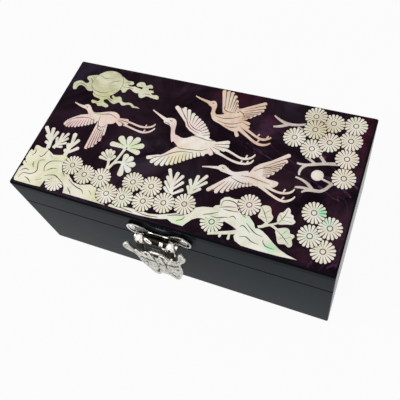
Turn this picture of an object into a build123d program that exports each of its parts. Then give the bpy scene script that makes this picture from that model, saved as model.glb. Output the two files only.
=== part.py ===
from build123d import *
import math
import os

# A rectangular lacquer jewellery box with a hinged lid, a mother-of-pearl picture on the lid and a
# butterfly latch. Millimetres. The origin is the centre of the felt's underside: +X along the
# length, +Y to the hinges, +Z up.

# Case and lid, outer sizes
box_width = 170.0
box_depth = 85.4
total_height = 69.0
lid_height = 20.1
seam_gap = 0.2
wall = 6.0
lid_wall = 6.0
lid_board = 5.0
bottom_board = 5.0
groove_depth = 2.0
corner_radius = 0.8
lid_edge_radius = 1.5
seam_chamfer = 0.4
felt = 1.2
wall_lift = 0.4
felt_margin = 3.0

# Linings and fittings inside
lining = 1.2
floor_lining = 1.5
lining_drop = 1.0
soft_gap = 0.3
ring_tray = 50.0
back_tray_depth = 31.0
divider = 3.0
divider_height = 24.0
velvet_turn = 0.9
short_divider_place = 26.0
roll_count = 6
roll_height = 14.0
roll_crown = 4.0
roll_draw = 0.8
mirror_width = 128.0
mirror_depth = 48.0
mirror_glass = 2.0
mirror_fit = 0.1
mirror_frame_band = 4.0
mirror_lip = 1.5
mirror_lip_cover = 1.0

# Hinges on the back
hinge_inset = 30.0
hinge_leaf_width = 18.0
hinge_leaf_height = 11.0
hinge_leaf_corner = 2.0
leaf = 1.0
knuckle_radius = 2.2
knuckle_width = 6.0
barrel_clear = 0.2
running_gap = 0.15
pin_radius = 0.9
pin_gap = 0.05
pin_head_radius = 1.4
pin_head = 0.8
stop_lug = 1.2
stop_lug_reach = 1.2
stop_lug_angle = 30.0
stop_rest_angle = 62.0
lid_open_angle = 100.0
stop_play_angle = 0.8
screw_shank_radius = 0.8
screw_length = 5.0
screw_head_radius = 1.6
screw_head = 0.7
screw_slot = 0.4
screw_gap = 0.05
hinge_screw_spacing = 11.0
hinge_screw_drop = 7.0

# Latch plate on the lid, as seen from the front
plate_half_width = 17.2
plate_thickness = 1.0
plate_rim = 0.5
plate_rim_width = 0.9
plate_screw_place = 13.8
plate_screw_rise = 2.2
plate_screw_radius = 2.0
plate_screw_head = 0.9
latch_axis_rise = 9.1
latch_axis_out = 4.2
latch_knuckle_radius = 2.1
latch_knuckle_half = 5.6
arm_radius = 2.9
arm_width = 4.6
arm_gap = 0.4
arm_drop = 7.6

# Butterfly
wing_half_span = 17.1
wing_thickness = 1.3
wing_tilt = 3.5
wing_stand_off = 7.4
wing_rim = 0.5
body_ridge_radius = 1.7
body_ridge_drop = 7.5
body_ridge_length = 19.5
slot_width = 1.1
slot_height = 3.4
slot_drop = 16.6
clip_sheet = 0.6
clip_reach = 5.0
clip_height = 6.0
clip_neck = 5.5
rivet_radius = 0.7
rivet_head_radius = 1.2
rivet_head = 0.5

# Keeper on the case
stud_radius = 1.6
stud_gap = 0.25
stud_end_gap = 0.5
stud_tail_radius = 1.0
keeper_drop = 10.1
keeper_width = 7.0
keeper_height = 17.0
keeper_sheet = 0.8
keeper_pin_drop = 6.2
keeper_pin_radius = 0.5
keeper_pin_head_radius = 0.9
keeper_pin_head = 0.4
keeper_pin_length = 4.0

# Inlay
nacre = 0.15
picture_half_width = 83.3
picture_half_depth = 41.1
flower_radius = 5.6
flower_petals = 17
flower_petal_half = 0.67
flower_root = 1.5
flower_gap = 0.12

# Levels and lines that follow
seam = total_height - lid_height
board_top = total_height - nacre
board_under = board_top - lid_board
case_rim = seam - seam_gap / 2
lid_rim = seam + seam_gap / 2
floor_level = felt + bottom_board
lined_floor = floor_level + floor_lining
half_width = box_width / 2
half_depth = box_depth / 2
front = -half_depth
inner_half_width = half_width - wall
inner_half_depth = half_depth - wall
lined_half_width = inner_half_width - lining
lined_half_depth = inner_half_depth - lining
lining_top = case_rim - lining_drop
divider_top = lined_floor + divider_height
hinge_y = half_depth + knuckle_radius + barrel_clear
latch_y = front - latch_axis_out
latch_axis_level = seam + latch_axis_rise
plate_screw_level = latch_axis_level + plate_screw_rise
keeper_level = seam - keeper_drop
body_top_level = latch_axis_level - body_ridge_drop
body_foot_level = body_top_level - body_ridge_length
slot_level = latch_axis_level - slot_drop


def block(x0, x1, y0, y1, z0, z1):
    """A box between two corners."""
    centre = Pos((x0 + x1) / 2, (y0 + y1) / 2, (z0 + z1) / 2)
    return centre * Box(x1 - x0, y1 - y0, z1 - z0)


def rod_x(x0, x1, y, z, radius):
    """A round bar along X."""
    return Pos((x0 + x1) / 2, y, z) * Rot(0, 90, 0) * Cylinder(radius, x1 - x0)


def rod_y(y0, y1, x, z, radius):
    """A round bar along Y."""
    return Pos(x, (y0 + y1) / 2, z) * Rot(90, 0, 0) * Cylinder(radius, y1 - y0)


def edges_on(shape, axis, value):
    """The edges that lie wholly at one coordinate."""
    return shape.edges().filter_by_position(axis, value - 0.01, value + 0.01)


def case_envelope():
    """The outer form of the closed case, with its soft edges."""
    form = block(-half_width, half_width, -half_depth, half_depth, wall_lift, case_rim)
    form = fillet(form.edges().filter_by(Axis.Z), corner_radius)
    form = fillet(edges_on(form, Axis.Z, wall_lift), corner_radius)
    return chamfer(edges_on(form, Axis.Z, case_rim), seam_chamfer)


def lid_envelope():
    """The outer form of the lid, rounded along its top edges."""
    form = block(-half_width, half_width, -half_depth, half_depth, lid_rim, board_top)
    form = fillet(form.edges().filter_by(Axis.Z), corner_radius)
    form = chamfer(edges_on(form, Axis.Z, lid_rim), seam_chamfer)
    return fillet(edges_on(form, Axis.Z, board_top), lid_edge_radius)


def ring_of_walls(envelope, thickness, z0, z1):
    """Front, back, left and right wall, butted at the corners."""
    w, d = half_width, half_depth
    cut = {
        "front": block(-w, w, -d, -d + thickness, z0, z1),
        "back": block(-w, w, d - thickness, d, z0, z1),
        "left": block(-w, -w + thickness, -d + thickness, d - thickness, z0, z1),
        "right": block(w - thickness, w, -d + thickness, d - thickness, z0, z1),
    }
    return {side: piece & envelope for side, piece in cut.items()}


def pilot_holes():
    """Holes in the wood for every screw, pin and rivet that enters it."""
    holes = []
    for x, z in hinge_screw_places(1) + hinge_screw_places(-1):
        holes.append(rod_y(half_depth - screw_length, half_depth + 1, x, z,
                           screw_shank_radius + screw_gap))
    for side in (-1, 1):
        holes.append(rod_y(front - 1, front + screw_length, side * plate_screw_place,
                           plate_screw_level, screw_shank_radius + screw_gap))
        holes.append(rod_y(front - 1, front + keeper_pin_length, 0,
                           keeper_level + side * keeper_pin_drop,
                           keeper_pin_radius + screw_gap))
    holes.append(rod_y(front - 1, front + keeper_pin_length, 0, keeper_level,
                       stud_tail_radius + screw_gap))
    return holes


def case_wood():
    walls = ring_of_walls(case_envelope(), wall, wall_lift, case_rim)
    reach = groove_depth
    board = block(-inner_half_width - reach, inner_half_width + reach,
                  -inner_half_depth - reach, inner_half_depth + reach, felt, floor_level)
    nodes = {f"case_{side}_wall": piece - board for side, piece in walls.items()}
    for name in ("case_front_wall", "case_back_wall"):
        nodes[name] = nodes[name] - pilot_holes()
    nodes["case_bottom_board"] = board
    nodes["base_felt"] = base_felt()
    return nodes


def base_felt():
    """The felt under the board, inside the walls and just below them."""
    w = inner_half_width - felt_margin
    d = inner_half_depth - felt_margin
    pad = block(-w, w, -d, d, 0, felt)
    return fillet(pad.edges().filter_by(Axis.Z), felt_margin)


def case_linings():
    """Velvet on thin board: a floor and four walls."""
    w, d = inner_half_width, inner_half_depth
    z1 = lining_top
    return {
        "lining_floor": block(-w, w, -d, d, floor_level, lined_floor),
        "lining_front": block(-w, w, -d, -d + lining, lined_floor, z1),
        "lining_back": block(-w, w, d - lining, d, lined_floor, z1),
        "lining_left": block(-w, -w + lining, -d + lining, d - lining, lined_floor, z1),
        "lining_right": block(w - lining, w, -d + lining, d - lining, lined_floor, z1),
    }


def rounded_top(shape, axis):
    """Velvet turns softly over the long top edges of a divider."""
    return fillet(edges_on(shape, Axis.Z, divider_top).filter_by(axis), velvet_turn)


def dividers():
    w, d = lined_half_width, lined_half_depth
    cross_x = -w + ring_tray
    long_y = d - back_tray_depth - divider
    cross = block(cross_x, cross_x + divider, -d, d, lined_floor, divider_top)
    long_one = block(cross_x + divider, w, long_y, long_y + divider, lined_floor, divider_top)
    short = block(short_divider_place, short_divider_place + divider, long_y + divider, d,
                  lined_floor, divider_top)
    return {"cross_divider": rounded_top(cross, Axis.Y),
            "long_divider": rounded_top(long_one, Axis.X),
            "short_divider": rounded_top(short, Axis.Y)}


def ring_rolls():
    """Padded rolls that hold rings between them, crowned on top and drawn in at the foot."""
    pitch = 2 * lined_half_depth / roll_count
    half = pitch / 2 - soft_gap / 2
    x0 = -lined_half_width + soft_gap
    x1 = -lined_half_width + ring_tray - soft_gap
    foot = lined_floor + soft_gap
    shoulder = foot + roll_height - roll_crown
    middle = (foot + shoulder) / 2
    nodes = {}
    for k in range(roll_count):
        y = -lined_half_depth + pitch * (k + 0.5)
        side_a = ThreePointArc((y + half - roll_draw, foot), (y + half, middle),
                               (y + half - roll_draw / 2, shoulder))
        top = ThreePointArc((y + half - roll_draw / 2, shoulder), (y, foot + roll_height),
                            (y - half + roll_draw / 2, shoulder))
        side_b = ThreePointArc((y - half + roll_draw / 2, shoulder), (y - half, middle),
                               (y - half + roll_draw, foot))
        base = Line((y - half + roll_draw, foot), (y + half - roll_draw, foot))
        face = Plane.YZ * make_face([side_a, top, side_b, base])
        roll = Pos(x0, 0, 0) * extrude(face, amount=x1 - x0, dir=(1, 0, 0))
        nodes[f"ring_roll_{k + 1}"] = fillet(roll.edges().filter_by(GeomType.CIRCLE), 1.0)
    return nodes


def lid_wood():
    envelope = lid_envelope()
    rails = ring_of_walls(envelope, lid_wall, lid_rim, board_under)
    nodes = {f"lid_{side}_rail": piece for side, piece in rails.items()}
    for name in ("lid_front_rail", "lid_back_rail"):
        nodes[name] = nodes[name] - pilot_holes()
    board = block(-half_width, half_width, -half_depth, half_depth, board_under, board_top)
    nodes["lid_top_board"] = board & envelope
    return nodes


def lid_lining_and_mirror():
    w, d = half_width - lid_wall, half_depth - lid_wall
    ceiling = board_under - floor_lining
    rim = lid_rim + lining_drop
    outside = block(-w, w, -d, d, rim, ceiling)
    inside = block(-w + lining, w - lining, -d + lining, d - lining, rim - 1, ceiling + 1)
    mw, md = mirror_width / 2, mirror_depth / 2
    glass_under = ceiling - mirror_glass
    frame_under = glass_under - mirror_lip
    fw, fd = mw + mirror_frame_band, md + mirror_frame_band
    lip_w, lip_d = mw - mirror_lip_cover, md - mirror_lip_cover
    pocket = block(-mw - mirror_fit, mw + mirror_fit, -md - mirror_fit, md + mirror_fit,
                   glass_under, ceiling + 1)
    window = block(-lip_w, lip_w, -lip_d, lip_d, frame_under - 1, ceiling)
    frame = block(-fw, fw, -fd, fd, frame_under, ceiling)
    frame = fillet(edges_on(frame, Axis.Z, frame_under), mirror_lip * 0.6)
    return {
        "lid_ceiling_lining": block(-w, w, -d, d, ceiling, board_under),
        "lid_side_lining": outside - inside,
        "mirror": block(-mw, mw, -md, md, glass_under, ceiling),
        "mirror_frame": frame - pocket - window,
    }


def hinge_centres():
    return (hinge_inset - half_width, half_width - hinge_inset)


def hinge_screw_places(side):
    """Screw centres on the upper leaves (side 1) or the lower ones (side -1)."""
    return [(centre + reach * hinge_screw_spacing / 2, seam + side * hinge_screw_drop)
            for centre in hinge_centres() for reach in (-1, 1)]


def sector(radius_in, radius_out, angle_0, angle_1, x0, x1):
    """A bar along X with the section of a ring sector about the hinge line."""
    def on(radius, angle):
        turn = math.radians(angle)
        return (radius * math.cos(turn), radius * math.sin(turn))
    middle = (angle_0 + angle_1) / 2
    outline = [
        Line(on(radius_in, angle_0), on(radius_out, angle_0)),
        ThreePointArc(on(radius_out, angle_0), on(radius_out, middle), on(radius_out, angle_1)),
        Line(on(radius_out, angle_1), on(radius_in, angle_1)),
        ThreePointArc(on(radius_in, angle_1), on(radius_in, middle), on(radius_in, angle_0)),
    ]
    face = Plane.YZ * make_face(outline)
    return Pos(x0, hinge_y, seam) * extrude(face, amount=x1 - x0, dir=(1, 0, 0))


def hinge_leaf(centre, side):
    """One leaf: a plate on the back face, its knuckles and its stop lugs."""
    w = hinge_leaf_width / 2
    m = knuckle_width / 2
    z_near = seam + side * seam_gap
    z_far = seam + side * (seam_gap + hinge_leaf_height)
    z0, z1 = sorted((z_near, z_far))
    plate = block(centre - w, centre + w, half_depth, half_depth + leaf, z0, z1)
    plate = fillet(edges_on(plate, Axis.Z, z_far).filter_by(Axis.Y), hinge_leaf_corner)
    web_z0, web_z1 = sorted((z_near, seam + side * knuckle_radius))
    middle = (centre - m + running_gap / 2, centre + m - running_gap / 2)
    outer = [(centre - w, centre - m - running_gap / 2), (centre + m + running_gap / 2, centre + w)]
    own = [middle] if side > 0 else outer
    other = outer if side > 0 else [middle]
    for x0, x1 in other:
        plate = plate - rod_x(x0 - running_gap, x1 + running_gap, hinge_y, seam,
                              knuckle_radius + running_gap)
    for x0, x1 in own:
        plate = plate + rod_x(x0, x1, hinge_y, seam, knuckle_radius)
        plate = plate + block(x0, x1, half_depth, hinge_y, web_z0, web_z1)
    plate = plate + stop_lugs(centre, side)
    plate = plate - rod_x(centre - w - 1, centre + w + 1, hinge_y, seam, pin_radius + pin_gap)
    for x, z in hinge_screw_places(side):
        plate = plate - rod_y(half_depth - 1, half_depth + leaf + 1, x, z,
                              screw_shank_radius + screw_gap)
    return plate


def stop_lugs(centre, side):
    """Lugs on the knuckles that meet when the lid stands open."""
    m = knuckle_width / 2
    inner = knuckle_radius - 0.4
    outer = knuckle_radius + stop_lug
    top = stop_rest_angle + stop_lug_angle
    if side > 0:
        lug = sector(inner, outer, stop_rest_angle, top,
                     centre - m + running_gap / 2, centre + m - running_gap / 2)
        return lug + sector(knuckle_radius + running_gap, outer, stop_rest_angle, top,
                            centre - m - stop_lug_reach, centre + m + stop_lug_reach)
    meet = stop_rest_angle - lid_open_angle - stop_play_angle
    lugs = []
    for x0, x1 in ((centre - m - stop_lug_reach, centre - m - running_gap / 2),
                   (centre + m + running_gap / 2, centre + m + stop_lug_reach)):
        lugs.append(sector(inner, outer, meet - stop_lug_angle, meet, x0, x1))
    return lugs[0] + lugs[1]


def wood_screw(x, z, face_y, outward, shank, head_radius, head, length):
    """A round-headed slotted screw, its head on a face, its shank in the wood."""
    dome = Pos(x, face_y, z) * Rot(90, 0, 0) * Cylinder(head_radius, 2 * head)
    dome = fillet(dome.edges(), head * 0.7)
    half = block(x - head_radius - 1, x + head_radius + 1, min(face_y, face_y + outward * 9),
                 max(face_y, face_y + outward * 9), z - head_radius - 1, z + head_radius + 1)
    top = face_y + outward * head
    y0, y1 = sorted((top - outward * head * 0.45, top + outward))
    slot = block(x - head_radius - 1, x + head_radius + 1, y0, y1,
                 z - screw_slot / 2, z + screw_slot / 2)
    a, b = sorted((face_y, face_y - outward * length))
    return (dome & half) - slot + rod_y(a, b, x, z, shank)


def hinges():
    nodes = {}
    for name, centre in zip(("left", "right"), hinge_centres()):
        nodes[f"hinge_{name}_upper_leaf"] = hinge_leaf(centre, 1)
        nodes[f"hinge_{name}_lower_leaf"] = hinge_leaf(centre, -1)
        w = hinge_leaf_width / 2
        pin = rod_x(centre - w - pin_gap, centre + w + pin_gap, hinge_y, seam, pin_radius)
        for x0, x1 in ((centre - w - pin_gap - pin_head, centre - w - pin_gap),
                       (centre + w + pin_gap, centre + w + pin_gap + pin_head)):
            pin = pin + rod_x(x0, x1, hinge_y, seam, pin_head_radius)
        nodes[f"hinge_{name}_pin"] = pin
    for name, side in (("upper", 1), ("lower", -1)):
        screws = [wood_screw(x, z, half_depth + leaf, 1, screw_shank_radius, screw_head_radius,
                             screw_head, screw_length) for x, z in hinge_screw_places(side)]
        nodes[f"hinge_{name}_screws"] = Compound(children=screws)
    return nodes


def cast_face(points, half_span):
    """A face of arcs through the points of its right half, top to bottom, and their mirror images.

    The points are drawn from the latch pin's level, and are scaled to the half span.
    """
    scale = half_span / max(x for x, z in points)
    right = [(x * scale, z * scale + latch_axis_level) for x, z in points]
    around = right + [(-x, z) for x, z in reversed(right[:-1])]
    return make_face([ThreePointArc(*around[k:k + 3]) for k in range(0, len(around) - 2, 2)])


def smooth_face(points):
    return make_face(Spline(*points, periodic=True))


def latch_plate_face():
    """Two cloud lobes joined by a dipped bridge."""
    return cast_face([
        (0, 1.4), (3.2, 2.0), (6.4, 3.9), (9.6, 5.7), (13.2, 6.4), (16.2, 5.0), (17.9, 2.2),
        (18.0, -0.8), (16.8, -3.5), (14.6, -4.6), (12.0, -3.8), (9.0, -2.6), (5.4, -3.0),
        (2.6, -4.6), (0, -5.2)], plate_half_width)


def butterfly_face():
    """Four wings, seen from the front and hanging."""
    return cast_face([
        (0, -3.7), (3.0, -3.9), (5.6, -4.9), (8.2, -5.6), (10.6, -3.8), (12.4, -1.6), (13.4, 1.2),
        (15.3, 2.4), (17.1, 0.2), (16.9, -2.4), (15.4, -5.2), (13.2, -8.2), (12.0, -10.8),
        (12.4, -13.4), (12.4, -16.6), (11.4, -21.2), (9.6, -26.4), (7.4, -30.2), (4.6, -30.0),
        (2.4, -27.6), (0, -27.0)], wing_half_span)


def front_plane(y):
    """Sketch plane facing the front: its x is X, its y is Z."""
    return Plane(origin=(0, y, 0), x_dir=(1, 0, 0), z_dir=(0, -1, 0))


def latch_plate():
    outline = latch_plate_face()
    plate = extrude(front_plane(front) * outline, amount=plate_thickness)
    rim = outline - offset(outline, -plate_rim_width)
    plate = plate + extrude(front_plane(front - plate_thickness) * rim, amount=plate_rim)
    half = latch_knuckle_half
    plate = plate + block(-half, half, latch_y, front - plate_thickness,
                          latch_axis_level - latch_knuckle_radius * 0.8,
                          latch_axis_level + latch_knuckle_radius * 0.8)
    plate = plate + rod_x(-half, half, latch_y, latch_axis_level, latch_knuckle_radius)
    plate = plate - rod_x(-half - 1, half + 1, latch_y, latch_axis_level, pin_radius + pin_gap)
    for side in (-1, 1):
        plate = plate - rod_y(front - plate_thickness - 2, front + 1, side * plate_screw_place,
                              plate_screw_level, screw_shank_radius + screw_gap)
    return plate


def hung(shape):
    """Lean a shape that is drawn hanging straight down, as the butterfly leans."""
    pivot = (0, latch_y, latch_axis_level)
    return Pos(*pivot) * Rot(-wing_tilt, 0, 0) * Pos(*(-value for value in pivot)) * shape


def wing_back():
    """Where the back of the butterfly lies before it leans."""
    return front - wing_stand_off


def butterfly():
    outline = butterfly_face()
    wings = extrude(front_plane(wing_back()) * outline, amount=wing_thickness)
    rim = outline - offset(outline, -plate_rim_width)
    wings = wings + extrude(front_plane(wing_back() - wing_thickness) * rim, amount=wing_rim)
    face_y = wing_back() - wing_thickness
    ridge = Pos(0, face_y, (body_top_level + body_foot_level) / 2) * Cylinder(
        body_ridge_radius, body_top_level - body_foot_level)
    ridge = fillet(ridge.edges(), body_ridge_radius * 0.6)
    keep = block(-9, 9, face_y - 9, face_y + wing_thickness / 2, 0, total_height)
    wings = wings + (ridge & keep)
    wings = wings - block(-slot_width / 2, slot_width / 2, face_y - 9, wing_back() + 1,
                          slot_level - slot_height / 2, slot_level + slot_height / 2)
    wings = wings - rod_y(face_y, wing_back() + 1, 0, rivet_level(), rivet_radius + screw_gap)
    piece = hung(wings)
    for side in (-1, 1):
        piece = piece + arm(side)
    return piece


def arm(side):
    """A strap that wraps the pin and runs down into a wing."""
    x0 = latch_knuckle_half + arm_gap
    x0, x1 = sorted((side * x0, side * (x0 + arm_width)))
    r, drop = arm_radius, arm_drop
    back = wing_stand_off - latch_axis_out
    face = back + wing_thickness
    strap = [(0.2 * r, r), (back, 0.25 * r), (face + 0.1 * r, -r), (face + wing_rim, r / 2 - drop),
             (face - 0.3 * r, -drop), (back + 0.1 * r, r - drop), (back - 0.2 * r, -1.3 * r),
             (0.2 * r, -r)]
    strap = [(latch_y - out, latch_axis_level + up) for out, up in strap]
    face = make_face(Polyline(*strap, close=True))
    bar = Pos(x0, 0, 0) * extrude(Plane.YZ * face, amount=x1 - x0, dir=(1, 0, 0))
    ring = rod_x(x0, x1, latch_y, latch_axis_level, arm_radius)
    hole = rod_x(x0 - 1, x1 + 1, latch_y, latch_axis_level, pin_radius + pin_gap)
    return bar + ring - hole


def rivet_level():
    return keeper_level + clip_height / 2 + clip_neck / 2


def catch_clip():
    """A spring clip behind the body: its cheeks stand either side of the stud."""
    inner = stud_radius + stud_gap
    outer = inner + clip_sheet
    back = wing_back()
    z0, z1 = keeper_level - clip_height / 2, keeper_level + clip_height / 2
    clip = block(-outer, outer, back, back + clip_sheet, z0, z1 + clip_neck)
    for side in (-1, 1):
        a, b = sorted((side * inner, side * outer))
        clip = clip + block(a, b, back, back + clip_reach, z0, z1)
    return hung(clip - rod_y(back - 1, back + 9, 0, rivet_level(), rivet_radius + screw_gap))


def clip_rivet():
    back = wing_back()
    tip = back - wing_thickness
    shank = rod_y(tip, back + clip_sheet, 0, rivet_level(), rivet_radius)
    head = rod_y(back + clip_sheet, back + clip_sheet + rivet_head, 0, rivet_level(),
                 rivet_head_radius)
    return hung(shank + head)


def stud_tip():
    """The stud ends a little short of the clip's web."""
    lean = math.tan(math.radians(wing_tilt)) * (latch_axis_level - keeper_level - stud_radius)
    return wing_back() + clip_sheet + stud_end_gap - lean


def keeper():
    sheet = front - keeper_sheet
    plate = SlotCenterToCenter(keeper_height - keeper_width, keeper_width, 90)
    plate = extrude(front_plane(front) * (Pos(0, keeper_level) * plate), amount=keeper_sheet)
    plate = chamfer(plate.edges().group_by(Axis.Y)[0], keeper_sheet * 0.3)
    plate = plate - rod_y(sheet - 1, front + 1, 0, keeper_level,
                           stud_tail_radius + screw_gap)
    pins = []
    for side in (-1, 1):
        z = keeper_level + side * keeper_pin_drop
        plate = plate - rod_y(sheet - 1, front + 1, 0, z, keeper_pin_radius + screw_gap)
        pin = rod_y(sheet - keeper_pin_head, sheet, 0, z, keeper_pin_head_radius)
        pins.append(pin + rod_y(sheet, front + keeper_pin_length, 0, z, keeper_pin_radius))
    stud = rod_y(stud_tip(), sheet, 0, keeper_level, stud_radius)
    stud = fillet(stud.edges().group_by(Axis.Y)[0], stud_radius * 0.5)
    stud = stud + rod_y(sheet, front + keeper_pin_length, 0, keeper_level,
                         stud_tail_radius)
    return {"keeper_plate": plate, "keeper_stud": stud, "keeper_pins": Compound(children=pins)}


def latch():
    reach = latch_knuckle_half + arm_gap + arm_width + pin_gap
    pin = rod_x(-reach, reach, latch_y, latch_axis_level, pin_radius)
    for x0, x1 in ((-reach - pin_head, -reach), (reach, reach + pin_head)):
        pin = pin + rod_x(x0, x1, latch_y, latch_axis_level, pin_head_radius)
    screws = [wood_screw(side * plate_screw_place, plate_screw_level, front - plate_thickness, -1,
                         screw_shank_radius, plate_screw_radius, plate_screw_head, screw_length)
              for side in (-1, 1)]
    return {"latch_plate": latch_plate(), "latch_pin": pin,
            "latch_screws": Compound(children=screws), "butterfly_hasp": butterfly(),
            "catch_clip": catch_clip(), "clip_rivet": clip_rivet()}


# The picture: every point is (x, y), drawn on this field and stretched to the picture's own
drawn_field = (83.3, 41.1)
stretch_x = picture_half_width / drawn_field[0]
stretch_y = picture_half_depth / drawn_field[1]
stretch = min(stretch_x, stretch_y)


def on_lid(point):
    """Stretch a drawn point to the picture's field."""
    return (point[0] * stretch_x, point[1] * stretch_y)


def shape(points):
    """A smooth closed outline."""
    return smooth_face([on_lid(p) for p in points])


def sharp(points):
    """A closed outline of straight runs."""
    return make_face(Polyline(*[on_lid(p) for p in points], close=True))


def finger(root, tip, width):
    """A feather, leaf or petal: a strip with a round tip."""
    root, tip = Vector(*on_lid(root)), Vector(*on_lid(tip))
    along = (tip - root).normalized()
    half = width * stretch / 2
    side = Vector(-along.Y, along.X) * half
    shoulder = tip - along * half
    a, b = root + side * 0.6, root - side * 0.6
    return make_face([Line(a, shoulder + side), ThreePointArc(shoulder + side, tip, shoulder - side),
                      Line(shoulder - side, b), Line(b, a)])


def fan(root, tips, width):
    return [finger(root, tip, width) for tip in tips]


def wing(root_0, root_1, tips, width):
    """Feathers whose roots are spread along a line."""
    last = len(tips) - 1
    feathers = []
    for k, tip in enumerate(tips):
        share = k / last
        root = tuple(a + (b - a) * share for a, b in zip(root_0, root_1))
        feathers.append(finger(root, tip, width))
    return feathers


def ribbon(points, widths):
    """A tapering band along a smooth line: a neck, leg, twig or stem."""
    line = [Vector(*on_lid(p)) for p in points]
    left, right = [], []
    for k, point in enumerate(line):
        before, after = line[max(k - 1, 0)], line[min(k + 1, len(line) - 1)]
        along = (after - before).normalized()
        side = Vector(-along.Y, along.X) * (widths[k] * stretch / 2)
        left.append(point + side)
        right.append(point - side)
    edges = [Spline(*left), Line(left[-1], right[-1]), Spline(*reversed(right)),
             Line(right[0], left[0])]
    return make_face(edges)


def flower_face(centre):
    """A chrysanthemum: narrow petals about a middle, one outline."""
    step = 2 * math.pi / flower_petals
    edges = []
    spot = Vector(*on_lid(centre))

    def at(radius, angle, aside=0.0):
        return spot + Vector(radius * math.cos(angle) - aside * math.sin(angle),
                             radius * math.sin(angle) + aside * math.cos(angle))

    half = flower_petal_half
    for k in range(flower_petals):
        angle = k * step
        root_a, root_b = at(flower_root, angle - step / 2), at(flower_root, angle + step / 2)
        arm_a, arm_b = at(flower_radius - half, angle, -half), at(flower_radius - half, angle, half)
        edges += [Line(root_a, arm_a), ThreePointArc(arm_a, at(flower_radius, angle), arm_b),
                  Line(arm_b, root_b)]
    return make_face(edges)


flowers = {
    "inlay_flowers_right": [(57.3, 28.3), (55.8, 36.1), (65.0, 34.0), (75.6, 35.2), (65.8, 22.6),
                            (75.3, 25.9), (48.8, 21.4), (58.6, 17.0), (75.8, 15.5), (76.8, 4.8),
                            (68.5, -16.0), (77.0, -21.5), (69.6, -27.6), (76.8, -33.0)],
    "inlay_flowers_front": [(-55.4, -24.3), (-46.6, -27.6), (-37.4, -27.0), (-30.4, -34.3),
                            (-21.6, -34.0), (-19.9, -24.6), (-9.9, -24.3), (-10.6, -33.0),
                            (-0.4, -31.0), (9.6, -28.7), (39.3, -20.4)],
}
flowers_behind = [(25.4, -33.6), (-59.9, -35.6)]


def discs(centres):
    """The round room that flowers take from what lies behind them."""
    return [Pos(*on_lid(c)) * Circle(flower_radius + flower_gap) for c in centres]


def in_front():
    return [centre for group in flowers.values() for centre in group]


def behind_flowers(face):
    """Cut the flowers' room out of a face."""
    box = face.bounding_box()
    near = [c for c in in_front()
            if box.min.X - flower_radius < on_lid(c)[0] < box.max.X + flower_radius
            and box.min.Y - flower_radius < on_lid(c)[1] < box.max.Y + flower_radius]
    return face - discs(near) if near else face


def flower_nodes():
    nodes = {}
    placed = []
    for name, centres in flowers.items():
        faces = []
        for centre in centres:
            face = flower_face(centre)
            spot = Vector(*on_lid(centre))
            near = [c for c in placed
                    if (Vector(*on_lid(c)) - spot).length < 2 * flower_radius + flower_gap]
            faces.append(face - discs(near) if near else face)
            placed.append(centre)
        nodes[name] = faces
    return nodes


sun_centre = (-61.5, 30.0)
sun_radius = 9.2
sun_line = 0.2


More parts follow.
